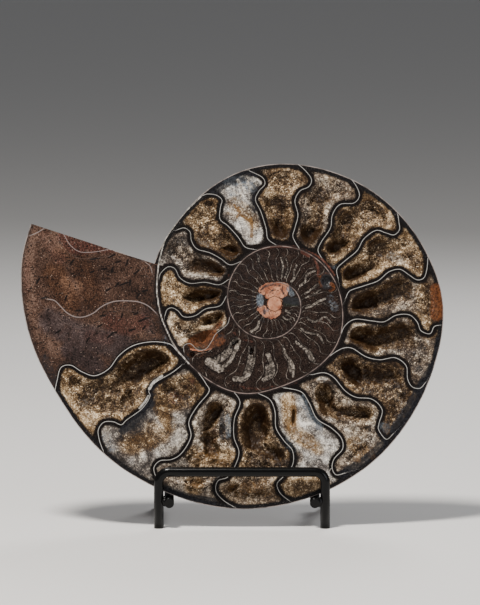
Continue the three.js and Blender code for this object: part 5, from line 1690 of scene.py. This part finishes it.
def shell_flank(stains):
    """The shell's outside: brown and mauve, with fine growth lines and the frilled edges of the septa."""
    material, nodes, principled = shader("shell_flank")
    place = nodes.millimetres()
    turn, share = nodes.field("flank_turn"), nodes.field("flank_share")
    broad = nodes.noise(place, 16, 4, 0.6)
    fine = nodes.noise(place, 1.3, 4, 0.7)
    colour = nodes.ramp(nodes.plus(nodes.times(broad, 0.6), nodes.times(fine, 0.4)), [
        (0.3, (0.028, 0.013, 0.007)), (0.45, (0.09, 0.046, 0.023)),
        (0.56, (0.17, 0.098, 0.052)), (0.7, (0.34, 0.23, 0.135)),
    ])
    swing = nodes.times(nodes.math("SINE", nodes.times(share, 21)), 2.6)
    frill = nodes.times(nodes.math("SINE", nodes.plus(nodes.times(share, 74), nodes.times(fine, 2))), 1.1)
    phase = nodes.math("FRACT", nodes.times(nodes.plus(turn, nodes.plus(swing, frill)), 1 / TURN_BETWEEN_SEPTA))
    away = nodes.times(nodes.size(nodes.minus(phase, 0.5)), nodes.times(share, 30))
    sutured = nodes.times(nodes.step(turn, 208, 214), nodes.step(share, 0.3, 0.36))
    suture = nodes.times(nodes.fade(away, 0.3, 0.85), sutured)
    colour = nodes.coat(colour, (0.016, 0.008, 0.005), suture, 0.85)
    between = nodes.times(nodes.fade(away, 0.7, 1.3), nodes.times(sutured, 0.35))
    colour = nodes.coat(colour, (0.34, 0.28, 0.2), between, nodes.fade(suture, 0, 1))
    unrolled = nodes.add("ShaderNodeCombineXYZ", X=nodes.times(turn, 0.9), Y=nodes.times(share, 3.0))
    growth = nodes.noise(unrolled.outputs[0], 1.0, 3, 0.6)
    colour = nodes.mix(nodes.step(growth, 0.42, 0.62, 0, 0.45), colour, (0.045, 0.022, 0.012))
    colour = use_group(nodes, stains, Color=colour, Rust=nodes.times(nodes.step(broad, 0.6, 0.75), 0.5))["Color"]
    rough = nodes.plus(0.28, nodes.times(fine, 0.25))
    height = nodes.plus(nodes.times(growth, 0.8), nodes.plus(nodes.times(fine, 0.4), nodes.times(suture, -0.4)))
    lay_on(nodes, principled, colour, rough, nodes.bump(height, 0.12, 0.6))
    return material


def druse(calcite, stains):
    """The crystals in the hollows: pale where they reach the face; down in the hollow they are painted brown and
    dark as shade.
    """
    material, nodes, principled = shader("calcite_druse")
    place = nodes.millimetres()
    depth, crystal = nodes.field("depth"), nodes.field("crystal")
    uneven = nodes.ragged(2.2, place, 2.4, 3, 0.6)
    # Painted shade: the crystals go darker, warmer and browner the deeper they lie and the nearer a hollow's deep
    # spots.
    painted_shade = nodes.step(nodes.plus(depth, uneven), 1.4, 6.4)
    hollow = nodes.plus(nodes.field("hollow"), nodes.times(uneven, 0.12))
    shaded = nodes.plus(nodes.step(hollow, 0.22, 0.42, 0, 0.45), nodes.step(hollow, 0.55, 0.95, 0, 0.6))
    painted_shade = nodes.most(nodes.times(painted_shade, 0.8), nodes.least(shaded, 1.0))
    light = nodes.minus(nodes.field("light"), nodes.times(painted_shade, 0.235))
    light = nodes.plus(light, nodes.times(nodes.minus(crystal, 0.5), nodes.step(painted_shade, 0, 1, 0.22, 0.18)))
    warm = nodes.plus(nodes.field("warmth"), nodes.times(painted_shade, 0.5))
    grain = use_group(nodes, calcite, Warmth=warm, Light=light, Grain=1.0)
    colour = stained(nodes, stains, grain["Color"])
    edge = nodes.plus(nodes.field("fill"), nodes.times(uneven, 0.45))
    # Painted shade: deep crystals are coated toward dark brown.
    colour = nodes.coat(colour, (0.024, 0.0102, 0.0026), painted_shade, 0.55)
    colour = nodes.mix(nodes.step(edge, -0.5, 0.9, 0.97, 0), colour, DARK_BAND)
    rough = nodes.plus(0.35, nodes.times(crystal, 0.3))
    lay_on(nodes, principled, colour, rough, nodes.bump(grain["Height"], 0.08, 0.5), 0.2)
    return material


def black_enamel():
    """Gloss black enamel on bent rod, with the faint ripple of a dipped coat."""
    material, nodes, principled = shader("black_enamel")
    place = nodes.millimetres()
    ripple = nodes.noise(place, 2.4, 3, 0.5)
    dust = nodes.noise(place, 0.5, 3, 0.7)
    colour = nodes.mix(nodes.step(dust, 0.55, 0.75), (0.0025, 0.0025, 0.0026), (0.008, 0.0077, 0.0077))
    rough = nodes.plus(0.13, nodes.times(dust, 0.12))
    normal = nodes.bump(nodes.plus(ripple, nodes.times(dust, 0.2)), 0.06, 0.35)
    lay_on(nodes, principled, colour, rough, normal, 0.17)
    return material


calcite = calcite_group()
stains = stain_group()
chamber_sediment = sediment_group()
fossil = fossil_stone([
    polished_face(calcite, stains, chamber_sediment), shell_flank(stains), sawn_mouth(chamber_sediment),
])
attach(fossil, "root")
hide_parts("ammonite_half")

druse_material = druse(calcite, stains)
for number in HOLLOWS:
    crust = crystal_crust(number, druse_material)
    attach(crust, "root")
    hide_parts(f"crystals_{number:02d}")

enamel = black_enamel()
rods = {
    "stand_front_hoop": front_hoop(enamel),
    "stand_back_hoop": back_hoop(enamel),
    "stand_left_arm": stand_arm("left_arm_rod", -1, enamel),
    "stand_right_arm": stand_arm("right_arm_rod", 1, enamel),
}
for node, rod in rods.items():
    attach(rod, "root")
    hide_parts(node)

# The studio: a pale floor, a pale surround and soft lights
FLOOR_SIZE = 14.0
half = FLOOR_SIZE / 2
floor_mesh = bpy.data.meshes.new("studio_floor")
floor_mesh.from_pydata([(-half, -half, 0), (half, -half, 0), (half, half, 0), (-half, half, 0)], [], [(0, 1, 2, 3)])
floor = bpy.data.objects.new("studio_floor", floor_mesh)
bpy.context.scene.collection.objects.link(floor)
floor_material, _, floor_shader = shader("pale_floor")
floor_shader.inputs["Base Color"].default_value = (0.62, 0.61, 0.6, 1)
floor_shader.inputs["Roughness"].default_value = 0.7
floor_mesh.materials.append(floor_material)

world = bpy.data.worlds.new("pale_studio")
world.use_nodes = True
world.node_tree.nodes["Background"].inputs["Color"].default_value = (0.62, 0.63, 0.65, 1)
world.node_tree.nodes["Background"].inputs["Strength"].default_value = 0.27
bpy.context.scene.world = world


def soft_light(name, place, target, size, watts, colour):
    light = bpy.data.lights.new(name, "AREA")
    light.shape, light.size = "DISK", size
    light.energy, light.color = watts, colour
    lamp = bpy.data.objects.new(name, light)
    lamp.location = place
    way = np.array(target) - np.array(place)
    lamp.rotation_euler = (
        math.atan2(math.hypot(way[0], way[1]), -way[2]), 0, math.atan2(way[1], way[0]) - math.pi / 2,
    )
    bpy.context.scene.collection.objects.link(lamp)


MIDDLE_OF_FACE = (0.004, -0.015, 0.105)
soft_light("key_light", (-0.28, -0.42, 1.2), MIDDLE_OF_FACE, 0.26, 32, (1.0, 0.96, 0.9))
soft_light("fill_light", (0.9, -0.8, 0.4), MIDDLE_OF_FACE, 0.6, 3.5, (0.95, 0.97, 1.0))
soft_light("back_light", (0.3, 0.9, 0.8), MIDDLE_OF_FACE, 0.5, 6, (1.0, 1.0, 1.0))

# The camera stands where the photograph was taken from: in front, a little above, with a long lens
CAMERA_DISTANCE = 2.5
CAMERA_ELEVATION = math.radians(6.1)
CAMERA_TARGET = (0.0039, -0.015, 0.1089)
SENSOR_WIDTH = 36
camera_data = bpy.data.cameras.new("camera")
camera = bpy.data.objects.new("camera", camera_data)
bpy.context.scene.collection.objects.link(camera)
camera_data.sensor_fit = "HORIZONTAL"
camera_data.sensor_width = SENSOR_WIDTH
camera_data.lens = SENSOR_WIDTH * CAMERA_DISTANCE / (PHOTO_WIDTH * MM_PER_PIXEL * MM)
camera.location = (
    CAMERA_TARGET[0],
    CAMERA_TARGET[1] - CAMERA_DISTANCE * math.cos(CAMERA_ELEVATION),
    CAMERA_TARGET[2] + CAMERA_DISTANCE * math.sin(CAMERA_ELEVATION),
)
camera.rotation_euler = (math.pi / 2 - CAMERA_ELEVATION, 0, 0)
bpy.context.scene.camera = camera
